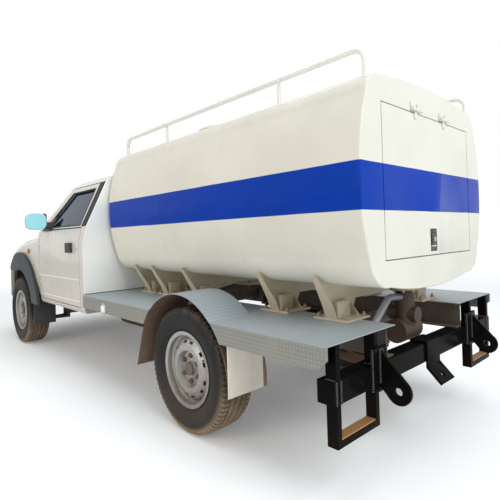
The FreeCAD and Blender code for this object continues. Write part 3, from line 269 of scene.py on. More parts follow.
def arc(a, m, b, count):
    """Points along the circle through three points, from a up to but without b."""
    a, m, b = (np.array(p, float) for p in (a, m, b))
    d = 2 * (a[0] * (m[1] - b[1]) + m[0] * (b[1] - a[1]) + b[0] * (a[1] - m[1]))
    sq = [p @ p for p in (a, m, b)]
    centre = np.array([sq[0] * (m[1] - b[1]) + sq[1] * (b[1] - a[1]) + sq[2] * (a[1] - m[1]),
                       sq[0] * (b[0] - m[0]) + sq[1] * (a[0] - b[0]) + sq[2] * (m[0] - a[0])]) / d
    t0, tm, t1 = (math.atan2(*(p - centre)[::-1]) for p in (a, m, b))
    t1 = t0 + (t1 - t0) % (2 * math.pi) if (tm - t0) % (2 * math.pi) < (t1 - t0) % (2 * math.pi) \
        else t0 - (t0 - t1) % (2 * math.pi)
    t = np.linspace(t0, t1, count, endpoint=False)
    return centre + np.hypot(*(a - centre)) * np.stack([np.cos(t), np.sin(t)], -1)


def tank_outline(inset=0.0):
    """The tank's section as points (x, z), eight arcs, moved inwards along its normals by inset."""
    h, t, b = TANK_HALF, TANK_TOP, TANK_BOTTOM
    foot, corner = (0.43, b + 0.037), (0.587, b + 0.158)
    shoulder, crest = (0.578, t - 0.117), (0.47, t - 0.029)
    right = [(foot, (0.53, b + 0.063), corner, 16), (corner, (h, b + 0.513), shoulder, 60),
             (shoulder, (0.548, t - 0.055), crest, 16)]
    left = [((-end[0], end[1]), (-through[0], through[1]), (-start[0], start[1]), count)
            for start, through, end, count in right]
    half = [((-foot[0], foot[1]), (0, b), foot, 60)] + right
    half += [(crest, (0, t), (-crest[0], crest[1]), 60)] + left[::-1]
    line = np.vstack([arc(*row) for row in half])
    along = np.roll(line, -1, 0) - np.roll(line, 1, 0)
    normal = np.stack([along[:, 1], -along[:, 0]], -1) / np.hypot(along[:, 0], along[:, 1])[:, None]
    return line - normal * inset


def at_y(line, y):
    """A flat outline of (x, z) points stood up at station y."""
    return np.stack([line[:, 0], np.full(len(line), y), line[:, 1]], -1)


def frame_line(half_x, half_z, middle_z):
    """The rectangle's points seen from its middle in the same directions as the tank's outline."""
    ray = tank_outline() - (0, middle_z)
    out = ray * np.minimum(half_x / np.maximum(abs(ray[:, 0]), 1e-9),
                           half_z / np.maximum(abs(ray[:, 1]), 1e-9))[:, None]
    for corner in ((half_x, half_z), (-half_x, half_z), (-half_x, -half_z), (half_x, -half_z)):
        gap = np.angle(np.exp(1j * (np.arctan2(out[:, 1], out[:, 0]) - math.atan2(corner[1], corner[0]))))
        out[np.argmin(abs(gap))] = corner
    return out + (0, middle_z)


fillet = np.radians(np.linspace(0, 90, 7))
rows = [at_y(tank_outline(0.009 * (1 - np.sin(a))), TANK_Y[0] + 0.009 * (1 - np.cos(a))) for a in fillet]
seams = np.linspace(TANK_Y[0] + 0.03, TANK_Y[1] - 0.03, 61)
rows += [at_y(tank_outline(0.0), y) for y in seams]
rows += [at_y(tank_outline(0.007 * (1 - np.cos(a))), TANK_Y[1] - 0.007 * (1 - np.sin(a))) for a in fillet]
rows += [at_y(frame_line(HATCH[0], HATCH[1], HATCH[2]), y) for y in (TANK_Y[1], TANK_Y[1] - 0.021)]
rows += [at_y(frame_line(0.419, 0.2925, HATCH[2]), y) for y in (TANK_Y[1] - 0.021, TANK_Y[1] - 0.42)]
middle = np.zeros((len(rows[0]), 3))
rows += [middle + (0, TANK_Y[1] - 0.42, HATCH[2])]
rows = [middle + (0, TANK_Y[0], 1.25)] + rows

tank_paint = finish("tank_paint", tank_white, rough=0.20, dirt=(0.45, 0.38, 0.29), amount=0.07, low=0.72,
                    high=0.9, grain=220.0, depth=0.03, coat=0.02, specular=0.08)
tree = tank_paint.node_tree
split = tree.nodes.new("ShaderNodeSeparateXYZ")
tree.links.new(place(tree), split.inputs[0])
wander = math_node(tree, "MULTIPLY", math_node(tree, "SUBTRACT", noise(tree, place(tree), 3.0, 2.0), 0.5),
                   0.004)
level = math_node(tree, "ADD", split.outputs["Z"], wander)
in_band = math_node(tree, "MULTIPLY", ramp(tree, level, BAND[0] - 0.0015, BAND[0] + 0.0015),
                    ramp(tree, level, BAND[1] - 0.0015, BAND[1] + 0.0015, 1.0, 0.0))
in_cabinet = math_node(tree, "MULTIPLY",
                       math_node(tree, "MULTIPLY",
                                 ramp(tree, split.outputs["Y"], TANK_Y[1] - 0.005, TANK_Y[1] - 0.003, 1.0,
                                      0.0),
                                 ramp(tree, split.outputs["Y"], TANK_Y[1] - 0.440, TANK_Y[1] - 0.435)),
                       ramp(tree, math_node(tree, "ABSOLUTE", split.outputs["X"]), 0.500, 0.505, 1.0, 0.0))
banded = math_node(tree, "MULTIPLY", in_band, math_node(tree, "SUBTRACT", 1.0, in_cabinet))
tree.links.new(mix(tree, banded, tank_white, band_blue), tree.nodes["weather"].inputs["Paint"])
tree.links.new(ramp(tree, banded, 0.0, 1.0, 0.07, 0.012), tree.nodes["weather"].inputs["Amount"])
sag = noise(tree, place(tree, (1.0, 1.0, 1.6)), 2.4, 2.0, 0.4)
tree.links.new(bump(tree, sag, 0.35, 0.05, tree.nodes["weather"].outputs["Normal"]),
               tree.nodes["Principled BSDF"].inputs["Normal"])
tank = surface("tank_skin", [(np.stack(rows), False, True)], tank_paint, "root",
               ("tank_shell",), 30)

MANHOLE = (0.0, 0.8775)


def lathe(profile, centre, axis, sides, phase=0.0):
    """A profile of (distance along the axis, radius) turned about an axis through centre."""
    profile = np.array(profile, float)
    turn = np.linspace(0, 2 * math.pi, sides, endpoint=False) + phase
    a = np.array(axis, float) / np.linalg.norm(axis)
    side = np.cross(a, (0, 0, 1) if abs(a[2]) < 0.9 else (1, 0, 0))
    side /= np.linalg.norm(side)
    round_ = np.cos(turn)[:, None] * side + np.sin(turn)[:, None] * np.cross(a, side)
    grid = np.array(centre) + profile[None, :, :1] * a + profile[None, :, 1:] * round_[:, None, :]
    return grid, True, False


drill = surface("drill", [lathe([(0, 0), (0, 0.23), (0.12, 0.23), (0.12, 0)], (*MANHOLE, 1.69), (0, 0, 1),
                                96)], tank_paint, "root")
hole = tank.modifiers.new("throat", "BOOLEAN")
hole.operation, hole.object, hole.solver = "DIFFERENCE", drill, "EXACT"
cut = bpy.data.meshes.new_from_object(tank.evaluated_get(bpy.context.evaluated_depsgraph_get()))
tank.modifiers.clear()
tank.data = cut
bpy.data.objects.remove(drill)

neck = [lathe([(1.70, 0.2251), (1.70, 0.235), (1.843, 0.235), (1.845, 0.233), (1.845, 0.227),
               (1.843, 0.2251), (1.70, 0.2251)],
              (*MANHOLE, 0), (0, 0, 1), 96)]
surface("manhole_neck", neck, tank_paint, "root")


def tube(path, radius, sides=12, ripple=0.0, pitch=0.006):
    """A round bar along a path of points, closed at its ends, with ripple for a weld's rings."""
    path = np.array(path, float)
    step = np.gradient(path, axis=0)
    step /= np.linalg.norm(step, axis=1)[:, None]
    side = np.cross(step, (0.03, 0.05, 1.0))
    side /= np.linalg.norm(side, axis=1)[:, None]
    across = np.cross(step, side)
    turn = np.linspace(0, 2 * math.pi, sides, endpoint=False)
    run = np.concatenate([[0], np.cumsum(np.linalg.norm(np.diff(path, axis=0), axis=1))])
    r = radius + ripple * np.sin(run * 2 * math.pi / pitch)
    ring = np.cos(turn)[None, :, None] * side[:, None] + np.sin(turn)[None, :, None] * across[:, None]
    grid = path[:, None] + r[:, None, None] * ring
    ends = [np.repeat(path[i][None, None], sides, 1) for i in (0, -1)]
    return np.concatenate([ends[0], grid, ends[1]]), False, True


def bent(points, bend, spacing=0.02):
    """A path through corner points whose corners are quarter-like arcs of radius bend."""
    points = np.array(points, float)
    out = [points[:1]]
    for before, corner, after in zip(points, points[1:], points[2:]):
        u, v = (before - corner), (after - corner)
        u, v = u / np.linalg.norm(u), v / np.linalg.norm(v)
        half = math.acos(np.clip(u @ v, -1, 1)) / 2
        back = bend / math.tan(half)
        t = np.linspace(0, 1, 9)[:, None]
        centre = corner + (u + v) / np.linalg.norm(u + v) * bend / math.sin(half)
        chord = (corner + u * back) * (1 - t) + (corner + v * back) * t - centre
        out.append(centre + chord / np.linalg.norm(chord, axis=1)[:, None] * bend)
    out.append(points[-1:])
    return np.vstack(out)


def seam(a, b, count=0):
    """Evenly spaced points from a to b, for a weld bead."""
    count = count or max(8, int(np.linalg.norm(np.subtract(b, a)) / 0.0015))
    return np.linspace(a, b, count)


weld_beads = []
for y in (TANK_Y[0] + 0.76, TANK_Y[0] + 1.52):
    ring = at_y(tank_outline(0.001), y)
    weld_beads.append(tube(np.vstack([ring, ring[:1]]), 0.0022, 6))
surface("tank_seams", weld_beads, tank_paint, "root")

# Rear hatch, manhole lid and their hinges: flat pressed plates in the tank's paint, with barrel hinges
# and a black paddle latch let into the hatch's lower edge.
dressed("rear_hatch", tank_paint, 0.002)
dressed("manhole_lid", tank_paint, 0.002)
dressed("fixed_hinges", tank_paint, 0.0008)
black_metal = finish("latch_black", (0.02, 0.02, 0.022), rough=0.35, amount=0.35, low=0.5, high=1.3,
                     grain=300.0, depth=0.15)


def slab(x0, x1, y0, y1, z0, z1, round_by=0.002, steps=3):
    """A block with rounded edges along Y: a rounded rectangle whose faces taper in by round_by."""
    corner = np.radians(np.linspace(0, 90, steps + 1))
    r = round_by
    line = []
    for cx, cz, turn in ((x1 - r, z1 - r, 0), (x0 + r, z1 - r, 90), (x0 + r, z0 + r, 180),
                         (x1 - r, z0 + r, 270)):
        a = corner + math.radians(turn)
        line.append(np.stack([cx + r * np.cos(a), cz + r * np.sin(a)], -1))
    line = np.vstack(line)
    inner = (line - (0.5 * (x0 + x1), 0.5 * (z0 + z1))) * (1 - r / max(1e-6, 0.5 * min(x1 - x0, z1 - z0)))
    inner = inner + (0.5 * (x0 + x1), 0.5 * (z0 + z1))
    centre = np.full(line.shape, (0.5 * (x0 + x1), 0.5 * (z0 + z1)))
    grid = [at_y(centre, y0), at_y(inner, y0), at_y(line, y0 + r), at_y(line, y1 - r), at_y(inner, y1),
            at_y(centre, y1)]
    return np.stack(grid), False, True


LATCH_Y = TANK_Y[1]
latch = [slab(-0.0375, 0.0375, LATCH_Y - 0.006, LATCH_Y - 0.0045, 0.962, 1.072),
         slab(-0.026, 0.026, LATCH_Y - 0.0045, LATCH_Y + 0.006, 0.99, 1.05, 0.003),
         slab(-0.030, 0.030, LATCH_Y - 0.005, LATCH_Y + 0.002, 1.056, 1.068, 0.002)]
surface("hatch_latch", latch, black_metal, "rear_hatch")
latch_steel = finish("latch_steel", (0.5, 0.47, 0.45), rough=0.3, amount=0.3, metallic=0.9, grain=300.0)
surface("hatch_lock", [lathe([(0, 0), (0, 0.013), (0.004, 0.013), (0.006, 0.010), (0.006, 0)],
                             (0, LATCH_Y + 0.005, 1.02), (0, 1, 0), 32)],
        latch_steel, "rear_hatch")

# Grab rails: a bent tube along each side of the tank's top, welded on, on two thin posts.
rail_paint = finish("rail_paint", (0.80, 0.79, 0.74), rough=0.3, amount=0.2, low=1.5, high=1.9, grain=200.0,
                    coat=0.2)
rails = []
for s in (-1, 1):
    x = s * 0.537
    rails.append(tube(bent([(x, 0.2675, 1.70), (x, 0.2675, 1.843), (x, 2.3825, 1.843), (x, 2.3825, 1.70)],
                           0.06), 0.013, 20))
    rails += [tube([(x, y, 1.70), (x, y, 1.75), (x, y, 1.835)], 0.009, 14) for y in (0.8375, 1.8875)]
surface("grab_rail_tubes", rails, rail_paint, "root", ("grab_rails",), 50)

# Tyres. Each is its section turned about the axle: beads, bulged sidewalls and a low crown. Four grooves
# run round the tread, and slanted cuts, closer on the shoulders, part its blocks.
def wheel_grid(section, around, centre, side):
    """A section of (outward x, radius) points turned about a wheel's axle; side is 1 left, -1 right."""
    turn = np.linspace(0, 2 * math.pi, around, endpoint=False)
    x = centre[0] + side * section[:, None, 0] + 0 * turn
    y = centre[1] + section[:, None, 1] * np.cos(turn)
    z = centre[2] + section[:, None, 1] * np.sin(turn)
    return np.stack([x, y, z], -1)


WHEELS = {"fl": (0.740, -1.6725, 0.345), "fr": (-0.740, -1.6725, 0.345), "rl": (0.710, 1.3775, 0.345),
          "rr": (-0.710, 1.3775, 0.345)}
side_arc = arc((0.084, 0.209), (0.1075, 0.264), (0.0975, 0.319), 16)
ring_step = 0.0012 * ((side_arc[:, 1] > 0.226) & (side_arc[:, 1] < 0.236))
side_arc[:, 0] -= ring_step
shoulder = arc((0.0975, 0.319), (0.0935, 0.335), (0.0855, 0.341), 10)
crown = arc((0.0855, 0.341), (0.0, 0.345), (-0.0855, 0.341), 72)
mirror_x = np.array([-1.0, 1.0])
bead = np.array([(-0.084, 0.1913), (0.0, 0.1913), (0.084, 0.1913)])
section = np.vstack([bead, side_arc, shoulder, crown, (shoulder * mirror_x)[::-1],
                     (side_arc * mirror_x)[::-1][:-1]])
AROUND = 576
rubber = finish("tyre_rubber", (0.006, 0.006, 0.007), rough=0.62, dirt=(0.33, 0.235, 0.15), amount=0.25,
                low=0.0, high=0.5, grain=90.0, depth=0.25, specular=0.3)
tree = rubber.node_tree
worn = tree.nodes.new("ShaderNodeAttribute")
worn.attribute_name = "tread"
amount = math_node(tree, "ADD", 0.09, math_node(tree, "MULTIPLY", worn.outputs["Fac"], 0.85))
tree.links.new(amount, tree.nodes["weather"].inputs["Amount"])
for name, centre in WHEELS.items():
    side = 1 if centre[0] > 0 else -1
    grid = wheel_grid(section, AROUND, centre, side)
    across = np.arange(len(section))
    turn = np.linspace(0, 2 * math.pi, AROUND, endpoint=False)[None, :]
    x, r = section[:, None, 0], section[:, None, 1]
    is_tread = (r > 0.322) & (abs(x) < 0.0985)
    ring = (np.abs(np.abs(x) - 0.020) < 0.0042) | (np.abs(np.abs(x) - 0.054) < 0.0042)
    slant = (turn * 36 / math.pi + x * 60 + 0.35 * np.sin(x * 90)) % 1.0
    cut = (slant < 0.24) & (np.abs(np.abs(x) - 0.037) < 0.017)
    cut |= ((turn * 36 / math.pi + x * 35) % 1.0 < 0.17) & (np.abs(x) < 0.016)
    lug = ((turn * 36 / math.pi + 0.4) % 1.0 < 0.30) & (np.abs(x) > 0.058)
    sink = np.where(is_tread, np.where(ring, 0.0075, 0) + np.where(~ring & (cut | lug), 0.006, 0), 0.0)
    radial = np.stack([0 * turn, np.cos(turn), np.sin(turn)], -1)
    grid = grid - sink[..., None] * radial
    tyre = surface("tyre_" + name + "_tread", [(grid, True, True)], rubber, BODY_OF["tyre_" + name],
                   ("tyre_" + name,), 32, 0)
    level = (np.clip((r - 0.300) / 0.025, 0, 1) * (1 - 0.45 * (sink > 0))).ravel()
    tyre.data.attributes.new("tread", "FLOAT", "POINT").data.foreach_set("value", level.astype(np.float32))

# Rims. The pressed steel wheel keeps its solid; six nuts, the hub's cap and the valve are added, and the
# silver paint is dusty with rust about the nuts.
rim_silver = finish("rim_silver", (0.46, 0.455, 0.44), rough=0.34, dirt=(0.20, 0.15, 0.105), amount=0.6,
                    low=0.0, high=0.75, grain=60.0, depth=0.12, metallic=0.75)
hub_rust = finish("hub_rust", (0.20, 0.17, 0.14), rough=0.5, dirt=(0.17, 0.115, 0.075), amount=0.7,
                  grain=160.0, depth=0.4, metallic=0.3)
for name, centre in WHEELS.items():
    side = 1 if centre[0] > 0 else -1
    dressed("rim_" + name, rim_silver, 0.0012)
    face = centre[0] + side * 0.052
    parts = []
    for k in range(6):
        a = math.radians(30 + 60 * k)
        spot = (face, centre[1] + 0.070 * math.cos(a), centre[2] + 0.070 * math.sin(a))
        parts.append(lathe([(-0.002, 0), (-0.002, 0.0155), (0.003, 0.0155), (0.0045, 0.0125)], spot,
                           (side, 0, 0), 18))
        parts.append(lathe([(0.0, 0.0125), (0.013, 0.0125), (0.016, 0.010), (0.016, 0.0), ], spot,
                           (side, 0, 0), 6))
        parts.append(lathe([(0.014, 0.0062), (0.021, 0.0060), (0.022, 0.0)], spot, (side, 0, 0), 12))
    hub = [(0.0, 0.036), (0.013, 0.035), (0.016, 0.031), (0.0165, 0.0)]
    parts.append(lathe(hub, (centre[0] + side * 0.060, centre[1], centre[2]), (side, 0, 0), 40))
    surface("hub_" + name, parts, hub_rust, BODY_OF["rim_" + name], (), 30)
    valve = [centre[0] + side * 0.062, centre[1] + 0.150, centre[2] + 0.075]
    surface("valve_" + name, [lathe([(0, 0), (0, 0.004), (0.024, 0.004), (0.026, 0.003), (0.026, 0)], valve,
                                    (side, 0, 0), 10)],
            rubber, BODY_OF["rim_" + name])

# Cab, doors, wings and bonnet: white paint gone a little grey-beige, dusty low down, with soft waves in
# the pressings. Edges are rolled over by a few millimetres.
body_white = finish("body_white", (0.62, 0.585, 0.515), rough=0.26, dirt=(0.42, 0.34, 0.25), amount=0.30,
                    low=0.35, high=0.95, grain=120.0, depth=0.05, coat=0.4)
tree = body_white.node_tree
waves = noise(tree, place(tree, (0.7, 0.7, 1.3)), 3.6, 2.0, 0.45)
tree.links.new(bump(tree, waves, 0.25, 0.03, tree.nodes["weather"].outputs["Normal"]),
               tree.nodes["Principled BSDF"].inputs["Normal"])
for node in ("cab_sides", "cab_roof", "door_left", "door_right", "front_wings", "bonnet", "front_bumper"):
    dressed(node, body_white, 0.0025)
# The cab's back wall is the cab's own white paint, given a far lighter colour as painted light where it faces
# the key light.
back_lit_paint = finish("cab_back_lit_paint", (0.93, 0.92, 0.87), rough=0.3, amount=0.06, low=0.6, high=0.8,
                    grain=120.0, coat=0.2)
dressed("cab_back", back_lit_paint, 0.0025)

SECTION = np.array([(0.800, 0.465), (0.835, 0.525), (0.845, 0.790), (0.843, 1.060), (0.815, 1.173),
                    (0.640, 1.540), (0.560, 1.594), (0.0, 1.612)])


def side_x(z):
    """How far out the cab's side stands at height z."""
    return np.interp(z, SECTION[:7, 1], SECTION[:7, 0])


def on_side(path, side, out=0.0):
    """Points (axle station, height) laid on the cab's side, out metres proud of it."""
    path = np.array(path, float)
    return np.stack([side * (side_x(path[:, 1]) + out), path[:, 0] + REAR_AXLE, path[:, 1]], -1)


def densely(corners, spacing=0.01):
    corners = np.array(corners, float)
    out = []
    for a, b in zip(corners[:-1], corners[1:]):
        out.append(np.linspace(a, b, max(2, int(np.linalg.norm(b - a) / spacing)), endpoint=False))
    return np.vstack(out + [corners[-1:]])


trim_black = finish("trim_black", (0.010, 0.010, 0.011), rough=0.55, dirt=(0.22, 0.18, 0.14), amount=0.35,
                    low=0.5, high=1.2, grain=220.0, depth=0.2)
flare_plastic = finish("flare_plastic", (0.022, 0.028, 0.036), rough=0.52, dirt=(0.16, 0.15, 0.14),
                       amount=0.3, low=0.2, high=0.8, grain=420.0, depth=0.3, specular=0.4)
dressed("wheel_flares", flare_plastic, 0.003)
for node in ("door_fittings_left", "door_fittings_right"):
    work = bmesh.new()
    fitting = dressed(node, trim_black, 0.003)
    work.from_mesh(fitting.data)
    head = [v for v in work.verts if abs(v.co.x) > 0.8715 and v.co.z > 1.15]
    bmesh.ops.delete(work, geom=head, context="VERTS")
    rim_edges = [e for e in work.edges if e.is_boundary]
    bmesh.ops.holes_fill(work, edges=rim_edges, sides=0)
    bmesh.ops.recalc_face_normals(work, faces=work.faces)
    work.to_mesh(fitting.data)
    work.free()

# Door openings: black seals round the glass, a crease along each door with a painted highlight on it, a key
# lock, and the louvred strip on the pillar behind it, whose slats stand out as a saw-tooth up the strip.
WINDOW = [(-1.420, 1.187), (-1.437, 1.488), (-1.9185, 1.488), (-2.235, 1.187), (-1.420, 1.187)]
chrome = finish("bright_metal", (0.62, 0.63, 0.65), rough=0.16, amount=0.2, metallic=1.0, grain=200.0,
                depth=0.02)
# The crease finish is far lighter than the body white: a painted highlight along each crease.
crease_painted_highlight = finish("crease_painted_highlight", (0.92, 0.91, 0.88), rough=0.2, amount=0.03, coat=0.5)
amber = finish("repeater_amber", (0.42, 0.12, 0.02), rough=0.25, amount=0.3, low=0.3, high=1.2, grain=200.0)
# The mirror glass is a flat pale sky-blue colour: a painted reflection of the sky.
mirror_sky_reflection = finish("mirror_sky_reflection", (0.42, 0.86, 0.94), rough=0.25, amount=0.08, metallic=0.15, grain=90.0,
                     depth=0.01)
mirror_shell = finish("mirror_shell", (0.30, 0.55, 0.60), rough=0.35, amount=0.2, low=0.8, high=1.3,
                      grain=200.0)
for tag, side in (("left", 1), ("right", -1)):
    door = "door_" + tag
    seal = tube(on_side(densely(WINDOW), side, -0.004), 0.0075, 8)
    sill = tube(on_side(densely([(-2.27, 1.168), (-1.385, 1.168)]), side, -0.002), 0.006, 8)
    surface("seal_" + tag, [seal, sill], trim_black, BODY_OF[door], (), 50)
    crease = [tube(on_side(densely([(-2.335, z), (-1.385, z)]), side, -0.0035), 0.0055, 8)
              for z in (0.757, 0.585)]
    surface("crease_" + tag, crease, crease_painted_highlight, BODY_OF[door], (), 60)
    lock = lathe([(0, 0), (0, 0.011), (0.003, 0.011), (0.004, 0.008), (0.0035, 0)],
                 (side * 0.842, -1.425 + REAR_AXLE, 1.0), (side, 0, 0), 24)
    surface("lock_" + tag, [lock], chrome, BODY_OF[door])
    z = np.linspace(1.178, 1.532, 170)
    tooth = 0.002 + 0.008 * (((z - 1.178) / 0.0253) % 1.0)
    edge = 0.0015 + 0 * z
    columns = []
    for y, out in ((-1.368, edge - 0.006), (-1.368, edge + 0.008), (-1.362, edge + 0.008), (-1.360, tooth),
                   (-1.305, tooth), (-1.303, edge + 0.008), (-1.297, edge + 0.008), (-1.297, edge - 0.006)):
        columns.append(np.stack([side * (side_x(z) + out), np.full_like(z, y + REAR_AXLE), z], -1))
    surface("louvre_" + tag, [(np.stack(columns), True, False)], trim_black, "root", (), 25,
            2e-5, False)
    lamp = lathe([(0, 0), (0, 0.024), (0.008, 0.024), (0.013, 0.018), (0.015, 0)],
                 (side * 0.8445, -2.67 + REAR_AXLE, 0.975), (side, 0, 0), 32)
    surface("repeater_" + tag, [lamp], amber, "root")
    turn = np.linspace(0, 2 * math.pi, 64, endpoint=False)
    oval = np.stack([np.cos(turn), np.sin(turn)], -1)
    oval = np.sign(oval) * abs(oval) ** 0.62
    rows = []
    for y, grow in ((-2.140, 0.0), (-2.140, 0.62), (-2.136, 0.80), (-2.128, 0.92), (-2.115, 0.985),
                    (-2.098, 1.0), (-2.088, 0.985), (-2.0855, 0.96), (-2.0855, 0.0)):
        rows.append(np.stack([side * (0.937 + 0.088 * grow * oval[:, 0]), np.full(64, y + REAR_AXLE),
                              1.245 + 0.072 * grow * oval[:, 1]],
                             -1))
    surface("mirror_head_" + tag, [(np.stack(rows), False, True)], mirror_shell, BODY_OF[door],
            (), 30)
    face = [np.stack([side * (0.937 + 0.083 * g * oval[:, 0]), np.full(64, y + REAR_AXLE),
                      1.245 + 0.067 * g * oval[:, 1]], -1)
            for y, g in ((-2.0853, 0.0), (-2.0853, 1.0), (-2.0840, 0.99), (-2.0838, 0.0))]
    surface("mirror_" + tag, [(np.stack(face), False, True)], mirror_sky_reflection, BODY_OF[door], (), 20)

# Glass: dark and green-blue from outside, with the cab's inside seen dimly through it.
glass = bpy.data.materials.new("dark_glass")
glass.use_nodes = True
tree = glass.node_tree
shader = tree.nodes["Principled BSDF"]
film = noise(tree, place(tree), 5.0, 3.0, 0.5)
tree.links.new(mix(tree, ramp(tree, film, 0.45, 0.75, 0.0, 0.2), (0.012, 0.065, 0.15), (0.06, 0.13, 0.19)),
               shader.inputs["Base Color"])
tree.links.new(ramp(tree, film, 0.4, 0.8, 0.03, 0.07), shader.inputs["Roughness"])
shader.inputs["Transmission Weight"].default_value = 0.7
shader.inputs["IOR"].default_value = 1.3
shader.inputs["Specular IOR Level"].default_value = 0.4
for node in ("door_glass_left", "door_glass_right", "windscreen"):
    plain(node, glass)
lens_look = bpy.data.materials.new("lamp_lens")
lens_look.use_nodes = True
tree = lens_look.node_tree
shader = tree.nodes["Principled BSDF"]
flutes = noise(tree, place(tree, (60.0, 4.0, 4.0)), 2.0, 2.0)
tree.links.new(mix(tree, ramp(tree, flutes, 0.35, 0.65), (0.62, 0.66, 0.68), (0.86, 0.88, 0.9)),
               shader.inputs["Base Color"])
tree.links.new(bump(tree, flutes, 0.4, 0.004), shader.inputs["Normal"])
shader.inputs["Roughness"].default_value = 0.08
shader.inputs["Metallic"].default_value = 0.3
plain("headlamps", lens_look)
plain("grille_panel", trim_black)

# Deck: chequer plate. Raised bars lie in turns along and across the diagonal, dulled with grey dust.
plate_look = finish("tread_plate", (0.42, 0.46, 0.49), rough=0.42, dirt=(0.40, 0.37, 0.31), amount=0.5,
                    low=0.3, high=1.0, grain=300.0, depth=0.2, metallic=0.45)
tree = plate_look.node_tree
flat = tree.nodes.new("ShaderNodeSeparateXYZ")
tree.links.new(place(tree), flat.inputs[0])
height = math_node(tree, "ADD", flat.outputs["X"], flat.outputs["Z"])
u = math_node(tree, "MULTIPLY", math_node(tree, "ADD", height, flat.outputs["Y"]), 58.0)
v = math_node(tree, "MULTIPLY", math_node(tree, "SUBTRACT", height, flat.outputs["Y"]), 58.0)


def wave_of(value, factor):
    return math_node(tree, "COSINE", math_node(tree, "MULTIPLY", value, factor * math.pi))


turns = math_node(tree, "MULTIPLY", wave_of(u, 1.0), wave_of(v, 1.0))
long_u = math_node(tree, "SUBTRACT", math_node(tree, "POWER", math_node(tree, "ABSOLUTE", wave_of(u, 0.5)),
                                               2.0),
                   math_node(tree, "POWER", math_node(tree, "ABSOLUTE", wave_of(v, 0.5)), 2.0))
# Painted light: the plate's top is coloured lighter and bluer as painted sky light, and its flanges and
# underside darker as painted shade; the bars' contrast follows the same mask.
painted_light_top = ramp(tree, flat.outputs["Z"], 0.640, 0.650)
bars = ramp(tree, math_node(tree, "MULTIPLY", math_node(tree, "ABSOLUTE", long_u),
                            math_node(tree, "ABSOLUTE", turns)), 0.25, 0.55)
tree.links.new(mix(tree, math_node(tree, "MULTIPLY", bars, ramp(tree, painted_light_top, 0.0, 1.0, 0.22, 0.5)),
                   mix(tree, painted_light_top, (0.20, 0.21, 0.19), (0.33, 0.395, 0.44)), (0.58, 0.64, 0.67)),
               tree.nodes["weather"].inputs["Paint"])
tree.links.new(bump(tree, bars, 0.7, 0.0014, tree.nodes["weather"].outputs["Normal"]),
               tree.nodes["Principled BSDF"].inputs["Normal"])
dressed("deck_panels", plate_look, 0.0012)
for side, tag in ((1, "left"), (-1, "right")):
    lamp_y = -0.92 + REAR_AXLE
    ring = lathe([(0, 0.0), (0, 0.040), (0.008, 0.041), (0.012, 0.038), (0.013, 0.031)],
                 (side * 0.849, lamp_y, 0.585), (side, 0, 0), 40)
    surface("deck_lamp_ring_" + tag, [ring], chrome, "root", (), 40, 2e-5, False)
    dome = lathe([(0.0, 0.0305), (0.012, 0.0295), (0.019, 0.020), (0.022, 0)], (side * 0.849, lamp_y, 0.585),
                 (side, 0, 0), 40)
    surface("deck_lamp_" + tag, [dome], lens_look, "root", (), 60, 2e-5, False)

# Mudguards, flaps and cradles: brown-red painted guards, thin white flaps and cream cradles with bolts.
guard_look = finish("guard_rust", (0.075, 0.025, 0.016), rough=0.6, dirt=(0.30, 0.22, 0.15), amount=0.6,
                    low=0.2, high=0.9, grain=90.0, depth=0.5)
dressed("mudguards", guard_look, 0.0012)
flap_look = finish("flap_white", (0.90, 0.82, 0.70), rough=0.45, amount=0.28, low=0.2, high=0.6, grain=120.0,
                   depth=0.15)
dressed("mud_flaps", flap_look, 0.0012)
cream = finish("cradle_cream", (0.60, 0.52, 0.38), rough=0.35, dirt=(0.33, 0.25, 0.17), amount=0.35, low=0.5,
               high=0.85, grain=150.0, depth=0.15, coat=0.15)
cradles = dressed("tank_saddles", cream, 0.0015)
spots = np.empty(3 * len(cradles.data.vertices))
cradles.data.vertices.foreach_get("co", spots)
spots = spots.reshape(-1, 3)
STATIONS = np.array([-0.980, -0.740, -0.350, 0.360, 0.730]) + REAR_AXLE
nearest = STATIONS[np.abs(spots[:, 1:2] - STATIONS).argmin(1)]
rise = np.clip(spots[:, 2] - 0.80, 0, None)
outer = abs(spots[:, 0]) > 0.545
drop = np.where(outer, rise * 0.45, 0)
taper = np.where(abs(spots[:, 0]) > 0.44, 1 - 0.7 * np.clip((spots[:, 2] - 0.70) / 0.23, 0, 1), 1)
spots[:, 1] = nearest + (spots[:, 1] - nearest) * taper
spots[:, 0] -= np.sign(spots[:, 0]) * drop * 0.667
spots[:, 2] -= drop
cradles.data.vertices.foreach_set("co", spots.ravel())
legs = []
for y in STATIONS:
    for s in (-1, 1):
        legs.append(slab(s * 0.405 - 0.048, s * 0.405 + 0.048, y - 0.040, y + 0.040, 0.661, 0.742, 0.004))
surface("cradle_legs", legs, cream, "root", (), 40)
bolts = []
for y in (-0.980, -0.740, -0.350, 0.360, 0.730):
    for x in (-0.450, -0.305, 0.305, 0.450):
        for dy in (-0.08, 0.08):
            spot = (x, y + dy + REAR_AXLE, 0.6613)
            bolts.append(lathe([(0, 0), (0, 0.013), (0.0025, 0.013), (0.003, 0.011)], spot, (0, 0, 1), 16))
            bolts.append(lathe([(0.002, 0.0105), (0.010, 0.0105), (0.012, 0.009), (0.012, 0)], spot,
                               (0, 0, 1), 6))
            bolts.append(lathe([(0.010, 0.006), (0.020, 0.006), (0.021, 0)], spot, (0, 0, 1), 10))
bolt_look = finish("bolt_zinc", (0.34, 0.31, 0.26), rough=0.4, amount=0.5, grain=200.0, metallic=0.7,
                   depth=0.3)
surface("cradle_bolts", bolts, bolt_look, "root", (), 30, 0, False)

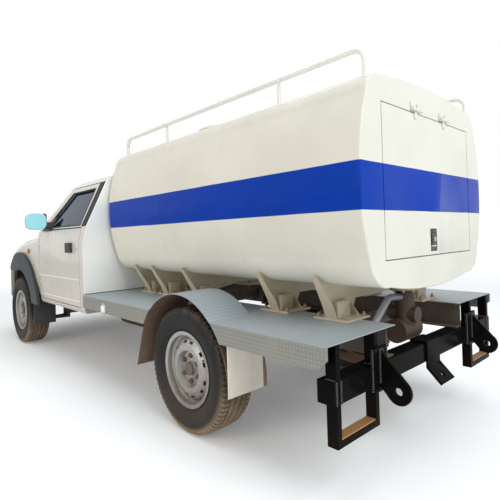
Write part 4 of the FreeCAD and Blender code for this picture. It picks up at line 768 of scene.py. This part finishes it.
# Rear steelwork: thick gloss black enamel over flat bar, with brown dust and weld beads at every joint.
gloss_black = finish("gloss_black", (0.004, 0.004, 0.004), rough=0.20, dirt=(0.11, 0.055, 0.028),
                     amount=0.10, low=0.2, high=0.5, grain=90.0, depth=0.2, specular=0.02)
for node in ("stirrup_frames", "rear_beam", "tow_fittings"):
    dressed(node, gloss_black, 0.0022)
beads = []
FACE = 1.000 + REAR_AXLE
for side in (-1, 1):
    for x in (0.506, 0.534, 0.776, 0.804):
        beads.append(tube(seam((side * x, FACE - 0.0005, 0.421), (side * x, FACE - 0.0005, 0.509)), 0.0055,
                          8, 0.0016, 0.009))
        beads.append(tube(seam((side * x, FACE - 0.049, 0.5105), (side * x, FACE - 0.003, 0.5105)), 0.0055,
                          8, 0.0016, 0.009))
    for x in (0.456, 0.554):
        beads.append(tube(seam((side * x, FACE + 0.001, 0.405), (side * x, FACE + 0.001, 0.580)), 0.0075, 8,
                          0.0020, 0.010))
    for x in (0.496, 0.514):
        beads.append(tube(seam((side * x, FACE + 0.0125, 0.436), (side * x, FACE + 0.0125, 0.578)), 0.0065,
                          8, 0.0018, 0.009))
    for a, b in (((0.534, 0.283), (0.534, 0.283)), ((0.776, 0.283), (0.776, 0.283))):
        beads.append(tube(seam((side * a[0], FACE - 0.047, a[1]), (side * b[0], FACE - 0.003, b[1])), 0.0055,
                          8, 0.0015, 0.009))
weld_look = finish("weld_black", (0.02, 0.018, 0.018), rough=0.28, dirt=(0.10, 0.06, 0.035), amount=0.2,
                   grain=260.0, depth=0.4, metallic=0.5, coat=0.2)
surface("weld_beads", beads, weld_look, "root", (), 70, 0, False)

wood = finish("step_board", (0.42, 0.20, 0.07), rough=0.55, dirt=(0.16, 0.10, 0.06), amount=0.45, low=0.0,
              high=0.4, grain=60.0, depth=0.6)
steps = [slab(s * 0.655 - 0.1205, s * 0.655 + 0.1205, FACE - 0.048, FACE - 0.002, 0.2832, 0.2892,
              0.0015) for s in (-1, 1)]
surface("stirrup_steps", steps, wood, "root")

# Underbody: frame, axles, springs, shaft, exhaust and engine, all dark and coated with brown dust.
frame_look = finish("frame_black", (0.025, 0.024, 0.023), rough=0.5, dirt=(0.19, 0.135, 0.09), amount=0.75,
                    low=0.2, high=0.9, grain=70.0, depth=0.5)
cast_look = finish("cast_metal", (0.13, 0.13, 0.125), rough=0.5, dirt=(0.16, 0.115, 0.08), amount=0.7,
                   grain=110.0, depth=0.6, metallic=0.5)
rust_look = finish("exhaust_rust", (0.17, 0.095, 0.055), rough=0.65, dirt=(0.09, 0.06, 0.045), amount=0.6,
                   grain=130.0, depth=0.5, metallic=0.4)
primer = finish("floor_primer", (0.17, 0.175, 0.17), rough=0.6, amount=0.5, low=0.4, high=1.0, grain=100.0,
                depth=0.2)
for node in ("chassis_rails", "crossmembers", "suspension_arms", "leaf_springs", "rear_axle", "knuckle_left",
             "knuckle_right"):
    plain(node, frame_look)
for node, look in (("propshaft", cast_look), ("engine_block", cast_look), ("exhaust", rust_look),
                   ("cab_floor", primer)):
    plain(node, look)

# Outlet below the tank: brass-cream flange, rusty valve and pump, with a ring of bolts on the flange.
pipe_look = finish("outlet_rust", (0.035, 0.024, 0.018), rough=0.45, dirt=(0.15, 0.085, 0.045), amount=0.6,
                   low=0.4, high=0.9, grain=120.0, depth=0.6, metallic=0.4)
dressed("outlet_pipework", pipe_look, 0.001)
brass = finish("flange_brass", (0.50, 0.40, 0.22), rough=0.4, dirt=(0.2, 0.14, 0.08), amount=0.5, low=0.6,
               high=0.9, grain=150.0, metallic=0.3)
flange = [(0.7655, 0.0745), (0.7665, 0.0765), (0.784, 0.0765), (0.785, 0.0745)]
surface("outlet_flange", [lathe(flange, (0.030, 0.880 + REAR_AXLE, 0), (0, 0, 1), 64)], brass, "root",
        (), 40, 2e-5, False)
hose_grey = finish("hose_grey", (0.20, 0.20, 0.24), rough=0.3, amount=0.2, low=0.5, high=0.8, grain=90.0)
run = bent([(0.075, 2.2575, 0.7310), (0.190, 2.2575, 0.740), (0.340, 2.2575, 0.624)], 0.06)
dense = np.vstack([np.linspace(a, b, 24, endpoint=False) for a, b in zip(run[:-1], run[1:])])
surface("outlet_hose", [tube(dense, 0.0165, 16, 0.0008, 0.012)], hose_grey, "root", (), 60,
        0)
studs = []
for k in range(8):
    a = math.radians(22.5 + 45 * k)
    spot = (0.030 + 0.062 * math.cos(a), 0.880 + REAR_AXLE + 0.062 * math.sin(a), 0.765)
    studs.append(lathe([(0, 0), (0, 0.009), (-0.008, 0.009), (-0.010, 0.007), (-0.010, 0)], spot, (0, 0, 1),
                       6))
surface("outlet_studs", studs, bolt_look, "root", (), 30)

# Cabinet: the reel with its coiled hose between painted flanges, and the flow meter with its round dial.
reel_paint = finish("reel_red", (0.36, 0.05, 0.035), rough=0.4, amount=0.3, grain=150.0, low=0.9, high=1.4)
dressed("hose_reel", reel_paint, 0.001)
y0 = 1.030 - 0.420 + REAR_AXLE
hub = (0, y0 + 0.210, 0.945 + 0.045 + 0.0003 + 0.230)
turn = np.linspace(0, 2 * math.pi * 11, 11 * 40)
radius = 0.104
coil = np.stack([-0.327 + 0.0225 * turn / (2 * math.pi), hub[1] + radius * np.cos(turn),
                 hub[2] + radius * np.sin(turn)], -1)
second = coil[:-60] + 0
second[:, 1] = hub[1] + 0.128 * np.cos(turn[:-60])
second[:, 2] = hub[2] + 0.128 * np.sin(turn[:-60])
second[:, 0] += 0.011
hose_look = finish("hose_black", (0.02, 0.02, 0.022), rough=0.5, amount=0.3, grain=300.0, depth=0.3)
surface("reel_hose", [tube(coil, 0.011, 10), tube(second, 0.011, 10)], hose_look, "root",
        (), 60, 0)
meter_look = finish("meter_grey", (0.30, 0.33, 0.35), rough=0.4, amount=0.3, grain=200.0, low=0.9, high=1.4)
dressed("flow_meter", meter_look, 0.002)
dial = lathe([(0.0, 0.054), (0.004, 0.054), (0.006, 0.050), (0.006, 0.0)],
             (0.225, y0 + 0.290, 0.945 + 0.045 + 0.3003), (0, 1, 0), 40)
surface("meter_dial", [dial], lens_look, "root")

# Inside: dashboard and a bench seat whose cushions swell between sewn seams.
dash_look = finish("dash_grey", (0.06, 0.062, 0.065), rough=0.6, amount=0.25, grain=420.0, depth=0.3)
plain("dashboard", dash_look)
cloth_look = finish("seat_cloth", (0.075, 0.08, 0.09), rough=0.85, amount=0.2, grain=600.0, depth=0.5,
                    specular=0.2)


def cushion(x0, x1, low, high, thick, seams):
    """A padded slab from the edge low to the edge high, both (station, height), swelling between seams."""
    u, v = np.meshgrid(np.linspace(0, 1, 90), np.linspace(0, 1, 48), indexing="ij")
    low, high = np.array(low), np.array(high)
    run = high - low
    normal = np.array([-run[1], run[0]]) / np.linalg.norm(run)
    rim = (1 - (2 * u - 1) ** 8) ** 0.5 * (1 - (2 * v - 1) ** 8) ** 0.5
    valley = 1 - 0.22 * np.exp(-((np.abs(((u * seams) % 1.0) - 0.5) - 0.5) / 0.05) ** 2)
    swell = 0.5 * thick * rim * valley
    side = []
    for s in (1, -1):
        yz = low + v[..., None] * run + s * swell[..., None] * normal
        side.append(np.stack([x0 + u * (x1 - x0), yz[..., 0] + REAR_AXLE, yz[..., 1]], -1))
    return [(side[0], False, False), (side[1], False, False)]


SEAT = -1.290
soft = []
for x0, x1 in ((-0.635, -0.02), (0.02, 0.635)):
    soft += cushion(x0, x1, (SEAT - 0.655, 0.765), (SEAT - 0.225, 0.755), 0.085, 3)
    soft += cushion(x0, x1, (SEAT - 0.205, 0.785), (SEAT - 0.110, 1.265), 0.085, 3)
    middle = 0.5 * (x0 + x1)
    soft += cushion(middle - 0.125, middle + 0.125, (SEAT - 0.105, 1.295), (SEAT - 0.085, 1.440), 0.065, 1)
seat = surface("seat_cushions", soft, cloth_look, "root", ("seats",), 70)

# Stage, light and camera: a plain pale floor, soft light from above and behind, and the photograph's view.
CAMERA_AT = (2.1059, 3.3348, 1.0708)
YAW, PITCH, ROLL = -2.3184, 0.0107, -0.0309
FOCAL_PX, CENTRE_Y_PX, FRAME_PX = 423.84, -19.88, 500.0
forward = Vector((math.cos(YAW) * math.cos(PITCH), math.sin(YAW) * math.cos(PITCH), math.sin(PITCH)))
right = forward.cross(Vector((0, 0, 1))).normalized()
up = right.cross(forward)
across = math.cos(ROLL) * right + math.sin(ROLL) * up
upward = -math.sin(ROLL) * right + math.cos(ROLL) * up
lens = bpy.data.cameras.new("photo_view")
lens.sensor_fit, lens.sensor_width = "HORIZONTAL", 36.0
lens.lens = 36.0 * FOCAL_PX / FRAME_PX
lens.shift_y = CENTRE_Y_PX / FRAME_PX
camera = bpy.data.objects.new("photo_view", lens)
camera.matrix_world = Matrix((across, upward, -forward)).transposed().to_4x4()
camera.matrix_world.translation = CAMERA_AT
bpy.context.collection.objects.link(camera)
bpy.context.scene.camera = camera

floor_mesh = bpy.data.meshes.new("floor")
reach = 40.0
floor_mesh.from_pydata([(-reach, -reach, 0), (reach, -reach, 0), (reach, reach, 0), (-reach, reach, 0)], [],
                       [(0, 1, 2, 3)])
floor = bpy.data.objects.new("floor", floor_mesh)
bpy.context.collection.objects.link(floor)
floor_look = bpy.data.materials.new("floor_white")
floor_look.use_nodes = True
floor_look.node_tree.nodes["Principled BSDF"].inputs["Base Color"].default_value = (0.96, 0.96, 0.96, 1)
floor_look.node_tree.nodes["Principled BSDF"].inputs["Roughness"].default_value = 0.9
tree = floor_look.node_tree
distance = tree.nodes.new("ShaderNodeVectorMath")
distance.operation = "LENGTH"
tree.links.new(place(tree), distance.inputs[0])
glow = ramp(tree, distance.outputs["Value"], 4.0, 13.0, 0.12, 0.62)
glow = math_node(tree, "MULTIPLY", glow, tree.nodes.new("ShaderNodeLightPath").outputs["Is Camera Ray"])
tree.nodes["Principled BSDF"].inputs["Emission Color"].default_value = (1, 1, 1, 1)
tree.links.new(glow, tree.nodes["Principled BSDF"].inputs["Emission Strength"])
floor_mesh.materials.append(floor_look)

world = bpy.data.worlds.new("studio")
bpy.context.scene.world = world
world.use_nodes = True
tree = world.node_tree
tree.nodes.clear()
path = tree.nodes.new("ShaderNodeLightPath")
seen = math_node(tree, "MAXIMUM", path.outputs["Is Camera Ray"], path.outputs["Is Transmission Ray"])
seen = math_node(tree, "MAXIMUM", seen, path.outputs["Is Glossy Ray"])
sky = tree.nodes.new("ShaderNodeBackground")
sky.inputs["Color"].default_value, sky.inputs["Strength"].default_value = (0.93, 0.96, 1.0, 1), 0.50
card = tree.nodes.new("ShaderNodeBackground")
card.inputs["Color"].default_value, card.inputs["Strength"].default_value = (1, 1, 1, 1), 1.0
blend = tree.nodes.new("ShaderNodeMixShader")
tree.links.new(seen, blend.inputs[0])
tree.links.new(sky.outputs[0], blend.inputs[1])
tree.links.new(card.outputs[0], blend.inputs[2])
tree.links.new(blend.outputs[0], tree.nodes.new("ShaderNodeOutputWorld").inputs[0])

# name, place, where it points, size, power, colour
for name, at, to, size, power, colour in (("key", (0.5, 8.0, 5.5), (0, 1.5, 1.0), 5.0, 390.0,
                                           (0.90, 0.97, 1.0)),
                                          ("side", (8.0, 1.0, 4.0), (0, 0, 0.9), 5.0, 170.0,
                                           (1.0, 0.93, 0.82)),
                                          ("top", (0.0, 0.0, 8.0), (0, 0, 0), 8.0, 260.0,
                                           (0.92, 0.96, 1.0))):
    data = bpy.data.lights.new(name, "AREA")
    data.shape, data.size, data.energy, data.color = "SQUARE", size, power, colour
    lamp = bpy.data.objects.new(name, data)
    lamp.location = at
    lamp.rotation_euler = (Vector(to) - Vector(at)).to_track_quat("-Z", "Y").to_euler()
    bpy.context.collection.objects.link(lamp)
bpy.context.scene.view_settings.view_transform = "Standard"
